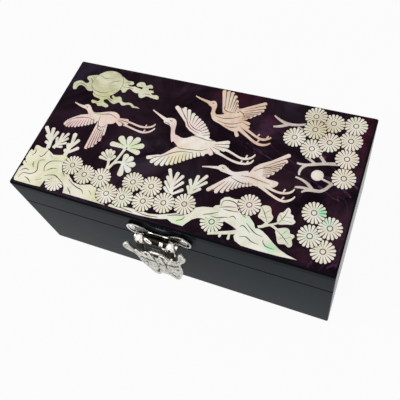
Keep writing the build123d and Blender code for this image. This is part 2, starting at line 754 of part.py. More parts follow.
def sun_and_clouds():
    sun = Pos(*on_lid(sun_centre)) * Circle(sun_radius)
    room = Pos(*on_lid(sun_centre)) * Circle(sun_radius + sun_line)
    left_cloud = shape([
        (-68, 34.8), (-71.5, 34.0), (-74.0, 33.0), (-75.5, 31.8), (-74.6, 30.1), (-73.0, 28.9),
        (-73.2, 27.7), (-75.0, 27.5), (-77.5, 28.4), (-80.0, 27.6), (-81.5, 25.6), (-80.9, 23.4),
        (-79.7, 21.7), (-78.4, 22.0), (-78.0, 24.2), (-76.8, 25.4), (-74.6, 25.0), (-72.6, 23.9),
        (-70.5, 22.7), (-68.2, 23.0), (-64.5, 24.6), (-64.0, 31.0)])
    low_cloud = shape([
        (-66.8, 21.6), (-65.2, 19.9), (-62.5, 19.2), (-60.6, 18.4), (-60.9, 17.4), (-63.0, 17.2),
        (-65.2, 16.9), (-64.2, 15.4), (-61.8, 15.6), (-60.2, 14.4), (-57.5, 14.7), (-55.0, 14.4),
        (-53.9, 15.2), (-55.6, 16.7), (-57.8, 17.6), (-58.4, 18.8), (-57.0, 19.7), (-55.0, 18.9),
        (-53.0, 17.9), (-51.3, 17.7), (-50.2, 18.7), (-48.9, 19.3), (-47.6, 18.4), (-46.0, 17.9),
        (-44.0, 18.9), (-42.0, 19.1), (-40.3, 18.0), (-38.0, 18.2), (-36.0, 18.2), (-37.4, 18.9),
        (-39.4, 19.0), (-41.0, 20.0), (-43.4, 20.5), (-46.0, 19.9), (-47.8, 20.6), (-48.8, 22.2),
        (-50.6, 23.0), (-52.6, 22.3), (-54.8, 22.9), (-54.5, 21.6), (-53.2, 20.6), (-54.8, 20.5),
        (-56.0, 21.6), (-57.0, 24.0), (-61.0, 26.0)])
    right_cloud = shape([
        (-58.5, 36.4), (-54.0, 36.4), (-52.0, 35.3), (-50.0, 34.6), (-47.6, 34.7), (-46.3, 33.5),
        (-47.3, 32.3), (-49.3, 31.9), (-47.6, 31.2), (-45.0, 31.7), (-42.8, 31.3), (-40.2, 30.3),
        (-40.2, 28.6), (-43.6, 27.9), (-45.4, 28.8), (-47.2, 29.5), (-48.4, 28.2), (-48.9, 26.6),
        (-50.3, 26.3), (-51.7, 27.6), (-53.0, 27.3), (-54.4, 25.4), (-58.5, 26.0)])
    far_cloud = shape([
        (-44.4, 33.1), (-43.9, 34.7), (-42.2, 35.6), (-40.0, 35.2), (-38.7, 33.9), (-36.6, 34.9),
        (-34.9, 34.2), (-34.5, 32.9), (-36.5, 32.3), (-36.3, 31.5), (-33.6, 31.3), (-32.6, 30.3),
        (-33.8, 29.4), (-32.6, 28.6), (-30.6, 28.9), (-28.5, 27.9), (-28.3, 26.8), (-30.5, 26.4),
        (-33.5, 26.8), (-35.8, 26.9), (-37.2, 25.6), (-38.8, 25.2), (-40.2, 26.3), (-41.0, 28.4),
        (-40.6, 30.4), (-39.8, 32.0), (-41.6, 32.3)])
    clouds = [left_cloud - room, low_cloud - room, (right_cloud - room) + far_cloud]
    return {"inlay_sun": [sun], "inlay_clouds": clouds}


def crane_left():
    return ([
        ribbon([(-74.0, 13.3), (-70.5, 12.2), (-66.8, 11.7)], [0.5, 1.1, 2.0]),
        ribbon([(-67.6, 11.7), (-65.4, 12.1), (-63.6, 10.9), (-61.8, 9.0), (-59.6, 7.6)],
               [1.6, 3.2, 2.7, 2.8, 4.2]),
        shape([(-61.0, 9.4), (-56.0, 10.4), (-52.5, 11.8), (-49.0, 12.6), (-46.2, 12.1),
               (-44.3, 10.4), (-44.6, 7.6), (-46.0, 5.4), (-49.0, 4.5), (-53.0, 4.3),
               (-57.0, 4.8), (-60.4, 6.0)])]
        + fan((-46.5, 8.6), [(-38.2, 9.0), (-37.8, 7.3), (-40.9, 5.4)], 2.3)
        + wing((-70.4, 1.6), (-57.4, 6.4),
               [(-72.9, -2.3), (-71.4, -3.0), (-69.8, -3.0), (-68.0, -2.5), (-66.2, -2.2),
                (-64.4, -1.4), (-62.6, -0.7), (-60.8, 0.2), (-59.2, 1.0), (-57.6, 2.0),
                (-56.2, 3.0)], 1.9)
        + [sharp([(-59.5, 8.2), (-62.6, 7.6), (-66.6, 6.2), (-70.0, 3.6), (-72.6, 1.0),
                  (-73.4, -0.8), (-72.0, -1.6), (-64.0, 1.0), (-57.0, 4.4)])]
        + wing((-54.4, 5.6), (-49.6, 5.6),
               [(-53.4, -13.4), (-52.2, -12.3), (-50.7, -11.5), (-49.7, -9.4), (-48.5, -7.2),
                (-48.2, -3.2)], 1.9)
        + [ribbon([(-39.0, 8.6), (-34.0, 7.9), (-30.0, 7.4), (-26.0, 8.1), (-23.8, 9.4),
                   (-23.0, 11.0)], [1.2, 1.0, 1.1, 1.0, 1.0, 0.6]),
           ribbon([(-40.0, 6.2), (-36.0, 5.5), (-31.0, 4.5), (-27.6, 4.3), (-25.0, 5.1),
                   (-23.2, 6.6), (-22.2, 8.4)], [1.2, 1.0, 1.0, 1.1, 1.0, 0.9, 0.6]),
           finger((-27.8, 7.4), (-27.4, 9.4), 0.8), finger((-27.6, 4.4), (-27.0, 6.2), 0.8)])


def crane_large():
    return ([
        ribbon([(-28.0, 19.3), (-23.5, 17.2), (-18.6, 15.0)], [0.5, 1.1, 2.0]),
        ribbon([(-19.4, 14.8), (-17.6, 14.6), (-14.9, 14.4), (-13.0, 11.8), (-12.2, 9.2),
                (-11.0, 6.6), (-8.6, 4.6)], [1.6, 3.8, 4.6, 2.8, 2.1, 2.6, 5.2]),
        shape([(-11.4, 6.6), (-9.0, 7.3), (-6.4, 6.5), (-3.6, 7.0), (-1.0, 8.8), (2.0, 10.2),
               (6.0, 10.4), (9.6, 9.2), (12.6, 8.2), (13.6, 5.6), (12.6, 2.8), (9.6, 0.6),
               (4.0, -0.8), (-2.0, -0.6), (-6.0, 1.0), (-9.2, 3.2)])]
        + fan((8.0, 6.0), [(19.0, 10.2), (19.4, 7.8), (18.6, 5.2), (15.8, 2.8), (12.6, 0.6)], 2.3)
        + wing((-7.4, 16.4), (3.0, 9.8),
               [(-16.6, 24.9), (-11.8, 25.2), (-9.0, 24.4), (-5.6, 22.8), (-3.2, 21.5),
                (-1.0, 20.3), (1.2, 19.0), (2.9, 17.6), (4.4, 16.0), (5.8, 14.4), (7.1, 12.8),
                (7.7, 11.0)], 2.2)
        + [sharp([(-16.0, 24.4), (-12.4, 22.4), (-10.0, 19.2), (-8.2, 16.4), (-6.6, 13.8),
                  (-4.0, 11.8), (0.2, 10.0), (4.0, 10.0), (5.6, 12.4), (1.0, 17.0),
                  (-5.6, 20.8), (-11.0, 24.0)])]
        + wing((-13.0, -6.6), (6.4, 1.8),
               [(-19.3, -9.6), (-16.2, -11.7), (-13.2, -12.5), (-10.0, -12.1), (-7.4, -11.0),
                (-5.2, -10.2), (-3.4, -9.0), (-1.6, -7.8), (0.0, -6.4), (1.6, -5.2),
                (3.2, -4.2), (4.8, -3.0), (6.6, -1.8), (8.8, -0.8)], 2.1)
        + [sharp([(-19.0, -8.6), (-14.0, -7.2), (-11.0, -4.6), (-8.6, -1.6), (-6.0, 1.4),
                  (4.0, 0.6), (4.0, -2.0), (-4.0, -6.6), (-10.0, -9.4), (-17.0, -10.0)]),
           ribbon([(17.0, 5.6), (21.6, 4.6), (25.0, 3.4), (27.8, 2.8), (30.5, 3.3), (32.3, 4.6),
                   (33.4, 6.7)], [1.6, 1.1, 1.1, 1.2, 1.1, 1.0, 0.6]),
           ribbon([(14.6, 2.8), (19.0, 1.6), (23.0, 0.4), (26.5, -0.1), (30.0, 0.2), (32.5, 1.4),
                   (33.5, 3.5)], [1.6, 1.1, 1.1, 1.2, 1.1, 1.0, 0.6]),
           finger((29.4, 3.0), (29.8, 5.4), 0.9), finger((28.0, 0.0), (28.2, 1.8), 0.9),
           finger((30.8, 0.4), (31.2, 2.3), 0.9)])


def crane_back():
    return ([
        ribbon([(-8.7, 33.9), (-5.0, 32.6), (-1.5, 31.8), (1.0, 31.0)], [0.5, 1.0, 1.6, 2.4]),
        ribbon([(0.0, 30.8), (2.2, 31.0), (3.6, 28.8), (3.9, 26.4), (4.9, 24.2), (7.6, 22.8)],
               [2.2, 3.8, 2.5, 2.0, 2.6, 4.8]),
        shape([(3.4, 25.4), (6.0, 24.9), (10.0, 26.0), (13.0, 27.6), (17.0, 28.6), (20.4, 27.6),
               (21.4, 24.6), (20.4, 20.6), (20.8, 18.0), (18.6, 17.0), (16.0, 17.4),
               (12.6, 18.6), (9.0, 20.0), (5.6, 21.6)])]
        + wing((9.6, 27.0), (15.6, 27.0),
               [(4.9, 41.3), (7.6, 41.3), (9.9, 41.0), (12.2, 39.2), (13.8, 36.5), (14.7, 33.9),
                (15.7, 31.9)], 2.1)
        + [sharp([(5.4, 40.6), (6.6, 37.6), (7.1, 34.0), (7.4, 31.0), (8.4, 28.4), (10.2, 26.0),
                  (15.6, 27.0), (13.6, 34.0), (11.0, 39.0)])]
        + wing((17.4, 30.6), (19.4, 25.0),
               [(29.6, 38.0), (29.7, 35.6), (29.5, 33.4), (28.4, 31.4), (26.4, 29.8),
                (24.8, 28.2), (22.8, 26.8)], 2.1)
        + [sharp([(16.4, 29.6), (16.2, 31.0), (20.0, 32.8), (24.0, 35.2), (28.0, 38.0),
                  (27.0, 34.0), (24.0, 30.0), (20.0, 26.0)])]
        + fan((19.6, 24.6), [(25.2, 23.2), (25.4, 20.8)], 1.8)
        + [finger((18.6, 18.4), (21.4, 14.4), 2.0),
           ribbon([(19.8, 22.6), (24.0, 20.0), (28.0, 18.0), (31.0, 16.6), (33.8, 16.0),
                   (36.4, 16.9), (37.9, 18.2)], [2.2, 1.6, 1.2, 1.2, 1.3, 1.1, 0.7]),
           ribbon([(19.8, 20.0), (23.8, 17.4), (27.0, 15.5), (30.5, 13.6), (33.5, 12.8),
                   (36.5, 13.4), (38.4, 15.0)], [2.2, 1.8, 1.4, 1.4, 1.4, 1.1, 0.7]),
           finger((30.8, 16.6), (31.8, 18.8), 0.9), finger((35.6, 16.8), (36.4, 18.8), 0.9),
           finger((31.6, 13.4), (32.6, 15.4), 0.9)])


def crane_right():
    return ([
        ribbon([(10.4, -6.8), (14.5, -5.9), (18.6, -5.3)], [0.5, 1.0, 1.7]),
        ribbon([(18.2, -4.9), (20.6, -5.0), (23.4, -5.9), (26.4, -6.6), (30.0, -6.0),
                (33.6, -5.4)], [1.6, 3.7, 2.6, 2.3, 3.2, 4.6]),
        shape([(29.0, -5.0), (32.0, -4.2), (36.0, -3.4), (40.0, -4.0), (44.0, -5.0),
               (48.8, -5.9), (48.0, -7.9), (44.5, -9.2), (40.5, -10.0), (36.5, -9.9),
               (32.0, -8.8), (29.0, -7.6)])]
        + wing((35.6, -1.4), (39.6, -4.6),
               [(49.9, 10.9), (49.6, 7.3), (48.4, 5.2), (47.9, 3.4), (46.7, 1.6), (45.4, -0.7),
                (43.6, -2.6), (42.0, -4.0)], 2.1)
        + [sharp([(33.8, -4.2), (35.0, -0.4), (37.4, 2.2), (41.0, 4.6), (44.6, 6.6),
                  (48.4, 9.6), (46.6, 5.0), (42.6, 0.0), (39.6, -4.4)])]
        + wing((24.8, -9.8), (35.4, -8.4),
               [(17.2, -18.8), (21.4, -18.9), (24.2, -18.0), (26.6, -16.6), (28.4, -15.0),
                (30.0, -14.0), (31.6, -13.0), (33.4, -12.2), (35.2, -11.6), (36.8, -10.8)], 2.0)
        + [sharp([(28.8, -7.0), (25.2, -8.6), (23.2, -11.4), (21.6, -14.8), (19.4, -17.4),
                  (21.6, -17.6), (26.0, -14.6), (31.0, -11.8), (36.0, -9.4)]),
           ribbon([(43.0, -8.6), (48.0, -10.1), (51.0, -10.4), (53.6, -9.9), (55.6, -8.8),
                   (56.8, -6.6)], [2.0, 1.2, 1.1, 1.1, 1.0, 0.6]),
           ribbon([(40.6, -9.4), (45.6, -11.8), (50.0, -13.6), (53.5, -14.2), (56.0, -13.2),
                   (58.1, -10.4)], [2.0, 1.3, 1.2, 1.2, 1.1, 0.6]),
           finger((52.2, -10.2), (52.8, -7.8), 0.9), finger((52.4, -13.9), (53.4, -12.0), 0.9)])


def spray(stem, leaflets):
    """A leaf whose leaflets leave a stem: each is its root, tip and width."""
    return [ribbon(*stem)] + [finger(root, tip, width) for root, tip, width in leaflets]


def pine_leaves():
    """Feathery leaves over the trunk and among the flowers."""
    return (
        spray(([(-74.1, -18.6), (-74.6, -15.4), (-75.4, -11.8)], [2.2, 2.3, 1.6]), [
            ((-75.6, -12.6), (-82.3, -5.8), 2.2), ((-75.4, -12.4), (-77.6, -5.5), 2.2),
            ((-74.4, -13.6), (-73.8, -7.1), 2.0), ((-74.8, -14.4), (-79.4, -10.8), 1.8),
            ((-74.4, -16.4), (-77.8, -14.7), 1.8)])
        + spray(([(-71.2, -17.6), (-70.5, -15.4), (-69.6, -12.8)], [2.0, 2.1, 1.4]), [
            ((-70.7, -15.2), (-72.4, -10.6), 1.7), ((-70.1, -13.8), (-70.2, -7.4), 1.6),
            ((-69.8, -13.4), (-67.0, -6.6), 1.7), ((-69.6, -13.8), (-65.7, -9.6), 1.5),
            ((-69.9, -15.2), (-65.3, -12.6), 1.5), ((-70.4, -16.4), (-66.4, -15.6), 1.5)])
        + spray(([(-62.4, -20.2), (-62.5, -16.4), (-62.3, -12.2)], [2.2, 2.4, 2.0]), [
            ((-62.2, -12.8), (-63.5, -5.6), 2.5), ((-62.0, -15.0), (-59.3, -8.9), 2.1),
            ((-61.9, -18.2), (-57.1, -13.6), 2.1), ((-62.6, -16.6), (-64.4, -12.5), 2.0),
            ((-62.5, -19.0), (-64.6, -16.4), 1.7)])
        + spray(([(1.4, -28.0), (0.8, -24.6), (-0.2, -19.8)], [1.9, 2.1, 1.4]), [
            ((-0.1, -20.6), (-4.9, -12.3), 1.8), ((-0.2, -20.4), (0.2, -13.0), 2.0),
            ((0.1, -21.4), (3.5, -14.1), 1.8), ((0.5, -23.4), (4.9, -17.5), 1.7),
            ((1.0, -26.0), (6.3, -21.4), 1.7), ((0.4, -22.8), (-4.5, -16.5), 1.6),
            ((0.7, -24.8), (-4.5, -19.4), 1.5), ((1.0, -26.6), (-3.8, -22.6), 1.5)])
        + spray(([(9.6, -25.0), (9.9, -22.0), (10.4, -18.2)], [1.8, 1.9, 1.4]), [
            ((10.3, -18.8), (10.6, -11.9), 1.9), ((10.5, -18.6), (15.0, -10.8), 1.8),
            ((10.4, -20.2), (16.1, -14.3), 1.6), ((10.1, -22.8), (14.3, -18.5), 1.7),
            ((10.0, -20.4), (7.2, -15.0), 1.7), ((9.7, -22.8), (7.4, -18.8), 1.5)]))


def berry_leaves():
    """Broad lobed leaves: three on the stem at the middle and three at the right."""
    big = [finger(root, tip, width) for root, tip, width in (
        ((-32.0, -6.8), (-41.8, -6.5), 3.0), ((-32.2, -6.4), (-38.4, -1.1), 3.4),
        ((-32.0, -6.6), (-32.6, 0.4), 3.2), ((-31.2, -6.6), (-27.4, 0.6), 3.5),
        ((-31.0, -6.8), (-23.2, -3.2), 3.2), ((-31.4, -7.0), (-23.7, -8.3), 2.9))]
    left = fan((-37.4, -16.4), [(-43.9, -15.6), (-43.6, -12.8), (-41.9, -10.6), (-39.8, -9.8),
                                (-37.5, -10.2), (-35.4, -12.8)], 1.8)
    right = fan((-29.4, -16.0), [(-30.0, -10.2), (-25.8, -11.2), (-22.9, -15.2), (-24.0, -19.9),
                                 (-28.2, -23.5)], 3.1)
    stems = [
        ribbon([(-32.4, -7.6), (-33.2, -12.0), (-34.4, -16.6), (-36.6, -22.4)],
               [1.6, 1.3, 1.3, 1.8]),
        ribbon([(-38.0, -16.0), (-37.0, -19.0), (-36.6, -22.4)], [1.6, 1.3, 1.6]),
        ribbon([(-29.4, -16.2), (-31.8, -15.9), (-34.2, -17.4)], [1.6, 1.2, 1.4])]
    lobed = [
        shape([(45.0, -19.4), (46.4, -18.6), (48.8, -18.7), (49.9, -20.2), (50.4, -21.7),
               (51.6, -23.2), (51.4, -25.2), (50.2, -26.7), (48.3, -26.6), (46.8, -25.8),
               (45.1, -25.1), (44.9, -23.8), (45.2, -22.2), (44.9, -20.8)]),
        shape([(55.9, -18.4), (57.4, -16.9), (58.4, -18.2), (58.9, -19.6), (60.2, -20.1),
               (60.6, -21.5), (61.8, -22.7), (61.4, -23.9), (59.0, -24.9), (56.5, -25.7),
               (54.8, -25.9), (53.8, -24.4), (53.6, -22.0), (54.2, -20.2)]),
        shape([(55.4, -28.0), (57.5, -27.1), (59.4, -26.8), (60.6, -27.6), (61.2, -28.9),
               (62.9, -29.1), (63.4, -30.0), (62.7, -31.2), (63.3, -33.2), (63.2, -34.8),
               (62.0, -35.4), (60.8, -34.7), (59.4, -34.7), (57.6, -35.0), (56.4, -33.5),
               (55.5, -31.5), (54.6, -29.2)]),
        ribbon([(49.6, -25.8), (49.4, -27.8), (46.4, -29.8)], [1.5, 1.7, 1.2]),
        ribbon([(55.0, -25.0), (53.2, -26.4), (51.4, -27.4), (49.2, -28.4)], [1.0, 1.0, 1.1, 1.4]),
        ribbon([(51.2, -27.4), (53.0, -27.8), (55.4, -29.0)], [1.1, 1.1, 1.2])]
    return big + left + right + stems + lobed


def trunk():
    """The old trunk at the left corner."""
    return [sharp([
        (-81.6, -18.8), (-80.4, -18.2), (-77.0, -19.0), (-74.3, -18.7), (-68.9, -21.4),
        (-66.0, -20.9), (-63.5, -20.1), (-61.8, -19.9), (-60.4, -20.9), (-58.0, -26.0),
        (-54.0, -30.5), (-50.0, -33.4), (-46.0, -33.7), (-42.0, -32.5), (-38.0, -31.4),
        (-36.0, -34.0), (-34.0, -36.6), (-31.0, -39.6), (-28.0, -40.4), (-52.6, -40.4),
        (-53.4, -37.6), (-56.0, -34.9), (-59.0, -33.6), (-63.0, -34.4), (-65.6, -36.4),
        (-66.3, -40.6), (-70.0, -40.9), (-76.0, -41.0), (-82.2, -41.0), (-83.1, -39.6),
        (-83.2, -34.0), (-82.8, -32.4), (-81.6, -31.6), (-83.0, -30.6), (-83.2, -29.2),
        (-82.3, -28.4), (-83.2, -27.2), (-83.2, -22.8), (-82.6, -21.4), (-81.6, -22.0),
        (-81.0, -21.9)])]


def branch():
    """The branch that runs along the front edge and the trunk it grows into."""
    return [sharp([
        (15.5, -28.9), (19.0, -27.4), (23.4, -26.6), (24.2, -25.2), (26.2, -24.3),
        (25.6, -21.8), (27.0, -19.8), (29.0, -19.1), (32.0, -19.5), (34.5, -18.9),
        (36.5, -20.5), (38.5, -23.2), (41.5, -26.3), (44.3, -28.8), (45.6, -31.0),
        (47.2, -30.6), (49.5, -31.5), (52.0, -33.0), (55.0, -35.2), (58.5, -37.4),
        (62.5, -38.9), (67.4, -40.0), (60.0, -40.6), (50.0, -40.9), (42.0, -40.8),
        (38.6, -39.4), (37.4, -37.4), (38.0, -35.4), (37.6, -34.0), (35.5, -33.0),
        (33.0, -32.2), (30.5, -31.6), (27.0, -31.2), (22.0, -32.0), (20.0, -33.4),
        (18.4, -33.6), (16.0, -35.2), (14.4, -37.4), (13.0, -39.6), (7.6, -39.6),
        (4.6, -38.3), (2.0, -39.2), (-2.0, -40.0), (-10.0, -40.6), (-20.0, -40.6),
        (-26.4, -40.4), (-26.0, -39.2), (-22.0, -38.9), (-16.0, -38.3), (-10.0, -38.0),
        (-5.0, -38.4), (0.0, -37.4), (5.0, -35.4), (10.0, -33.2), (14.2, -31.3)]),
        ribbon([(38.4, -34.8), (34.0, -36.7), (29.5, -38.2), (25.6, -39.8)],
               [2.2, 1.7, 1.5, 0.9]),
        finger((31.6, -37.0), (31.2, -39.9), 1.2), finger((35.2, -36.2), (35.5, -39.9), 1.3)]


def twigs():
    """Bare twigs at the right, with one round berry."""
    berry = (64.9, 3.3)
    berry_radius = 2.9
    return [
        ribbon([(35.6, 31.7), (39.0, 29.7), (43.0, 28.4), (48.0, 28.8), (53.0, 30.6)],
               [0.8, 1.2, 1.7, 1.4, 1.2]),
        ribbon([(44.0, 28.3), (41.0, 26.4), (36.9, 25.0)], [1.8, 1.6, 0.9]),
        ribbon([(48.8, 27.8), (50.4, 27.0), (52.0, 26.4)], [1.0, 1.3, 1.2]),
        ribbon([(73.6, 12.0), (70.0, 11.2), (66.0, 10.2), (62.0, 8.7), (58.5, 7.6), (54.0, 7.4)],
               [1.8, 1.7, 1.6, 1.5, 1.3, 0.9]),
        ribbon([(66.6, 10.4), (65.0, 12.4), (62.8, 14.4)], [1.8, 1.5, 1.6]),
        ribbon([(62.4, 8.9), (59.8, 10.6), (57.0, 11.6)], [1.5, 1.2, 1.1]),
        ribbon([(59.2, 7.8), (57.0, 5.4), (56.4, 3.0), (56.8, 1.2)], [1.6, 1.4, 1.2, 0.8]),
        Pos(*on_lid(berry)) * Circle(berry_radius),
        ribbon([(67.2, 2.0), (69.5, 1.4), (72.2, 0.6)], [0.9, 1.0, 1.1]),
        ribbon([(73.6, 1.4), (72.0, 0.0), (70.5, -2.5), (68.0, -4.6), (65.0, -5.0),
                (62.5, -5.6), (60.2, -7.4)], [1.6, 1.6, 1.5, 1.5, 1.7, 1.4, 0.8]),
        ribbon([(64.6, -4.9), (62.0, -2.5), (59.0, -1.0), (55.4, -0.2)], [1.7, 1.4, 1.1, 0.8]),
        ribbon([(63.4, -5.0), (60.0, -4.9), (56.6, -5.6)], [1.4, 1.3, 1.0])]


def fused(faces):
    """Join faces that touch into one flat shape."""
    return Sketch() + faces


def nacre_piece(faces):
    """Cut thin shell to flat faces and lay it on the board."""
    sheet = extrude(Plane.XY.offset(board_top) * fused(faces), amount=nacre)
    return Compound(children=list(sheet.solids()))


def inlay():
    picture = {"inlay_crane_left": crane_left(), "inlay_crane_large": crane_large(),
               "inlay_crane_back": crane_back(), "inlay_crane_right": crane_right()}
    picture.update(sun_and_clouds())
    half_hidden = [flower_face(centre) for centre in flowers_behind]
    covered = {"inlay_trunk": trunk(), "inlay_branch": branch(), "inlay_twigs": twigs(),
               "inlay_pine_leaves": pine_leaves(), "inlay_berry_leaves": berry_leaves()}
    for name, faces in covered.items():
        picture[name] = [behind_flowers(fused(faces))]
    picture["inlay_pine_leaves"] = [picture["inlay_pine_leaves"][0] - fused(trunk())]
    cover = fused(trunk() + branch())
    picture.update(flower_nodes())
    picture["inlay_flowers_front"].append(behind_flowers(fused(half_hidden) - cover))
    return {name: nacre_piece(faces) for name, faces in picture.items()}


def all_nodes():
    nodes = {}
    for group in (case_wood, case_linings, dividers, ring_rolls, lid_wood, lid_lining_and_mirror,
                  hinges, keeper, latch, inlay):
        nodes.update(group())
    return nodes


os.makedirs("parts", exist_ok=True)
for node, solid in all_nodes().items():
    solid.label = node
    export_step(solid, f"parts/{node}.step")
    print(node, len(solid.solids()), round(solid.volume, 1))
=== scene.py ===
import math

import bmesh
import bpy
from mathutils import Matrix, Vector, noise


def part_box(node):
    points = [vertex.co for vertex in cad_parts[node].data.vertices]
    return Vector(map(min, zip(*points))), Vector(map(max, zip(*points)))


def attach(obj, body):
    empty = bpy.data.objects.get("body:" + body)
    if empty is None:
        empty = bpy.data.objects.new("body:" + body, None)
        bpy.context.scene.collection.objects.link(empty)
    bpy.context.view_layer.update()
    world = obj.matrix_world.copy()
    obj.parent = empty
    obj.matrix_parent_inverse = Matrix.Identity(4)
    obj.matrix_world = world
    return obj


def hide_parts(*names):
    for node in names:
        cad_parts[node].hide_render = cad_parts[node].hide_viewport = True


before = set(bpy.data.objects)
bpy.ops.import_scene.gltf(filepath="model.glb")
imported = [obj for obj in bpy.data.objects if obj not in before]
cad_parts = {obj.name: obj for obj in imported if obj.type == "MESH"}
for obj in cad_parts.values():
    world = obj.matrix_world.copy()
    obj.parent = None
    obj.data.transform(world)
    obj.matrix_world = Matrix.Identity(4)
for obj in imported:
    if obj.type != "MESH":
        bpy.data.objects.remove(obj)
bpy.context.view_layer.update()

mm = 0.001

# Sizes of the CAD part that the pieces here follow, in millimetres
box_front = -42.7
lid_face = 69.0
pin_out = 4.2
pin_level = 58.0
seam_level = 48.9
plate_rim = -44.125
lean = math.radians(3.5)
wing_back = 3.2
wing_thickness = 1.3


# Camera and light

# Brightness of the world as a light, and as what is seen
world_light = 0.5
world_seen = 1.0
floor_glow = 0.95
key_watts = 4.0
fill_watts = 1.0


def add(name, data):
    """A new object in the scene."""
    thing = bpy.data.objects.new(name, data)
    bpy.context.scene.collection.objects.link(thing)
    return thing


def make_camera():
    data = bpy.data.cameras.new("view")
    data.sensor_width = 36
    data.lens = 46.677
    data.shift_x = -0.0017
    data.shift_y = -0.0466
    data.clip_start = 0.01
    camera = add("view", data)
    right = Vector((0.921633, 0.355640, -0.155284))
    up = Vector((-0.238125, 0.834244, 0.497326))
    back = Vector((0.306414, -0.421375, 0.853553))
    turn = Matrix((right, up, back)).transposed()
    place = Matrix.Translation((0.089567, -0.120579, 0.282996))
    camera.matrix_world = place @ turn.to_4x4()
    bpy.context.scene.camera = camera


def area_light(name, place, target, size, watts):
    data = bpy.data.lights.new(name, "AREA")
    data.shape = "DISK"
    data.size = size
    data.energy = watts
    light = add(name, data)
    light.location = place
    aim = Vector(target) - Vector(place)
    light.rotation_euler = aim.to_track_quat("-Z", "Y").to_euler()


def seen_white(tree):
    """1 for what the camera sees directly, in a gloss or through glass, and 0 for light."""
    path = tree.nodes.new("ShaderNodeLightPath")
    total = path.outputs["Is Camera Ray"]
    for kind in ("Is Glossy Ray", "Is Transmission Ray"):
        step = tree.nodes.new("ShaderNodeMath")
        step.operation = "MAXIMUM"
        tree.links.new(total, step.inputs[0])
        tree.links.new(path.outputs[kind], step.inputs[1])
        total = step.outputs[0]
    return total


def blend(tree, lit, seen, share, output):
    """Send one shader to the light and another to what is seen."""
    mix = tree.nodes.new("ShaderNodeMixShader")
    for source, socket in zip((share, lit.outputs[0], seen.outputs[0]), mix.inputs):
        tree.links.new(source, socket)
    tree.links.new(mix.outputs[0], tree.nodes[output].inputs["Surface"])


def make_world():
    world = bpy.data.worlds.new("studio")
    world.use_nodes = True
    bpy.context.scene.world = world
    tree = world.node_tree
    fill = tree.nodes["Background"]
    fill.inputs["Color"].default_value = (1, 1, 1, 1)
    fill.inputs["Strength"].default_value = world_light
    plain = tree.nodes.new("ShaderNodeBackground")
    plain.inputs["Color"].default_value = (1, 1, 1, 1)
    plain.inputs["Strength"].default_value = world_seen
    blend(tree, fill, plain, seen_white(tree), "World Output")


def make_floor():
    mesh = bpy.data.meshes.new("floor")
    shape = bmesh.new()
    bmesh.ops.create_circle(shape, cap_ends=True, radius=4, segments=96)
    shape.to_mesh(mesh)
    shape.free()
    floor = add("floor", mesh)
    mat = bpy.data.materials.new("pale_floor")
    mat.use_nodes = True
    tree = mat.node_tree
    shader = tree.nodes["Principled BSDF"]
    shader.inputs["Base Color"].default_value = (0.4, 0.42, 0.45, 1)
    shader.inputs["Roughness"].default_value = 0.9
    shader.inputs["Specular IOR Level"].default_value = 0.1
    glow = tree.nodes.new("ShaderNodeEmission")
    glow.inputs["Strength"].default_value = 1.0
    share = tree.nodes.new("ShaderNodeMath")
    share.operation = "MULTIPLY"
    share.inputs[1].default_value = floor_glow
    tree.links.new(seen_white(tree), share.inputs[0])
    blend(tree, shader, glow, share.outputs[0], "Material Output")
    mesh.materials.append(mat)


# Materials

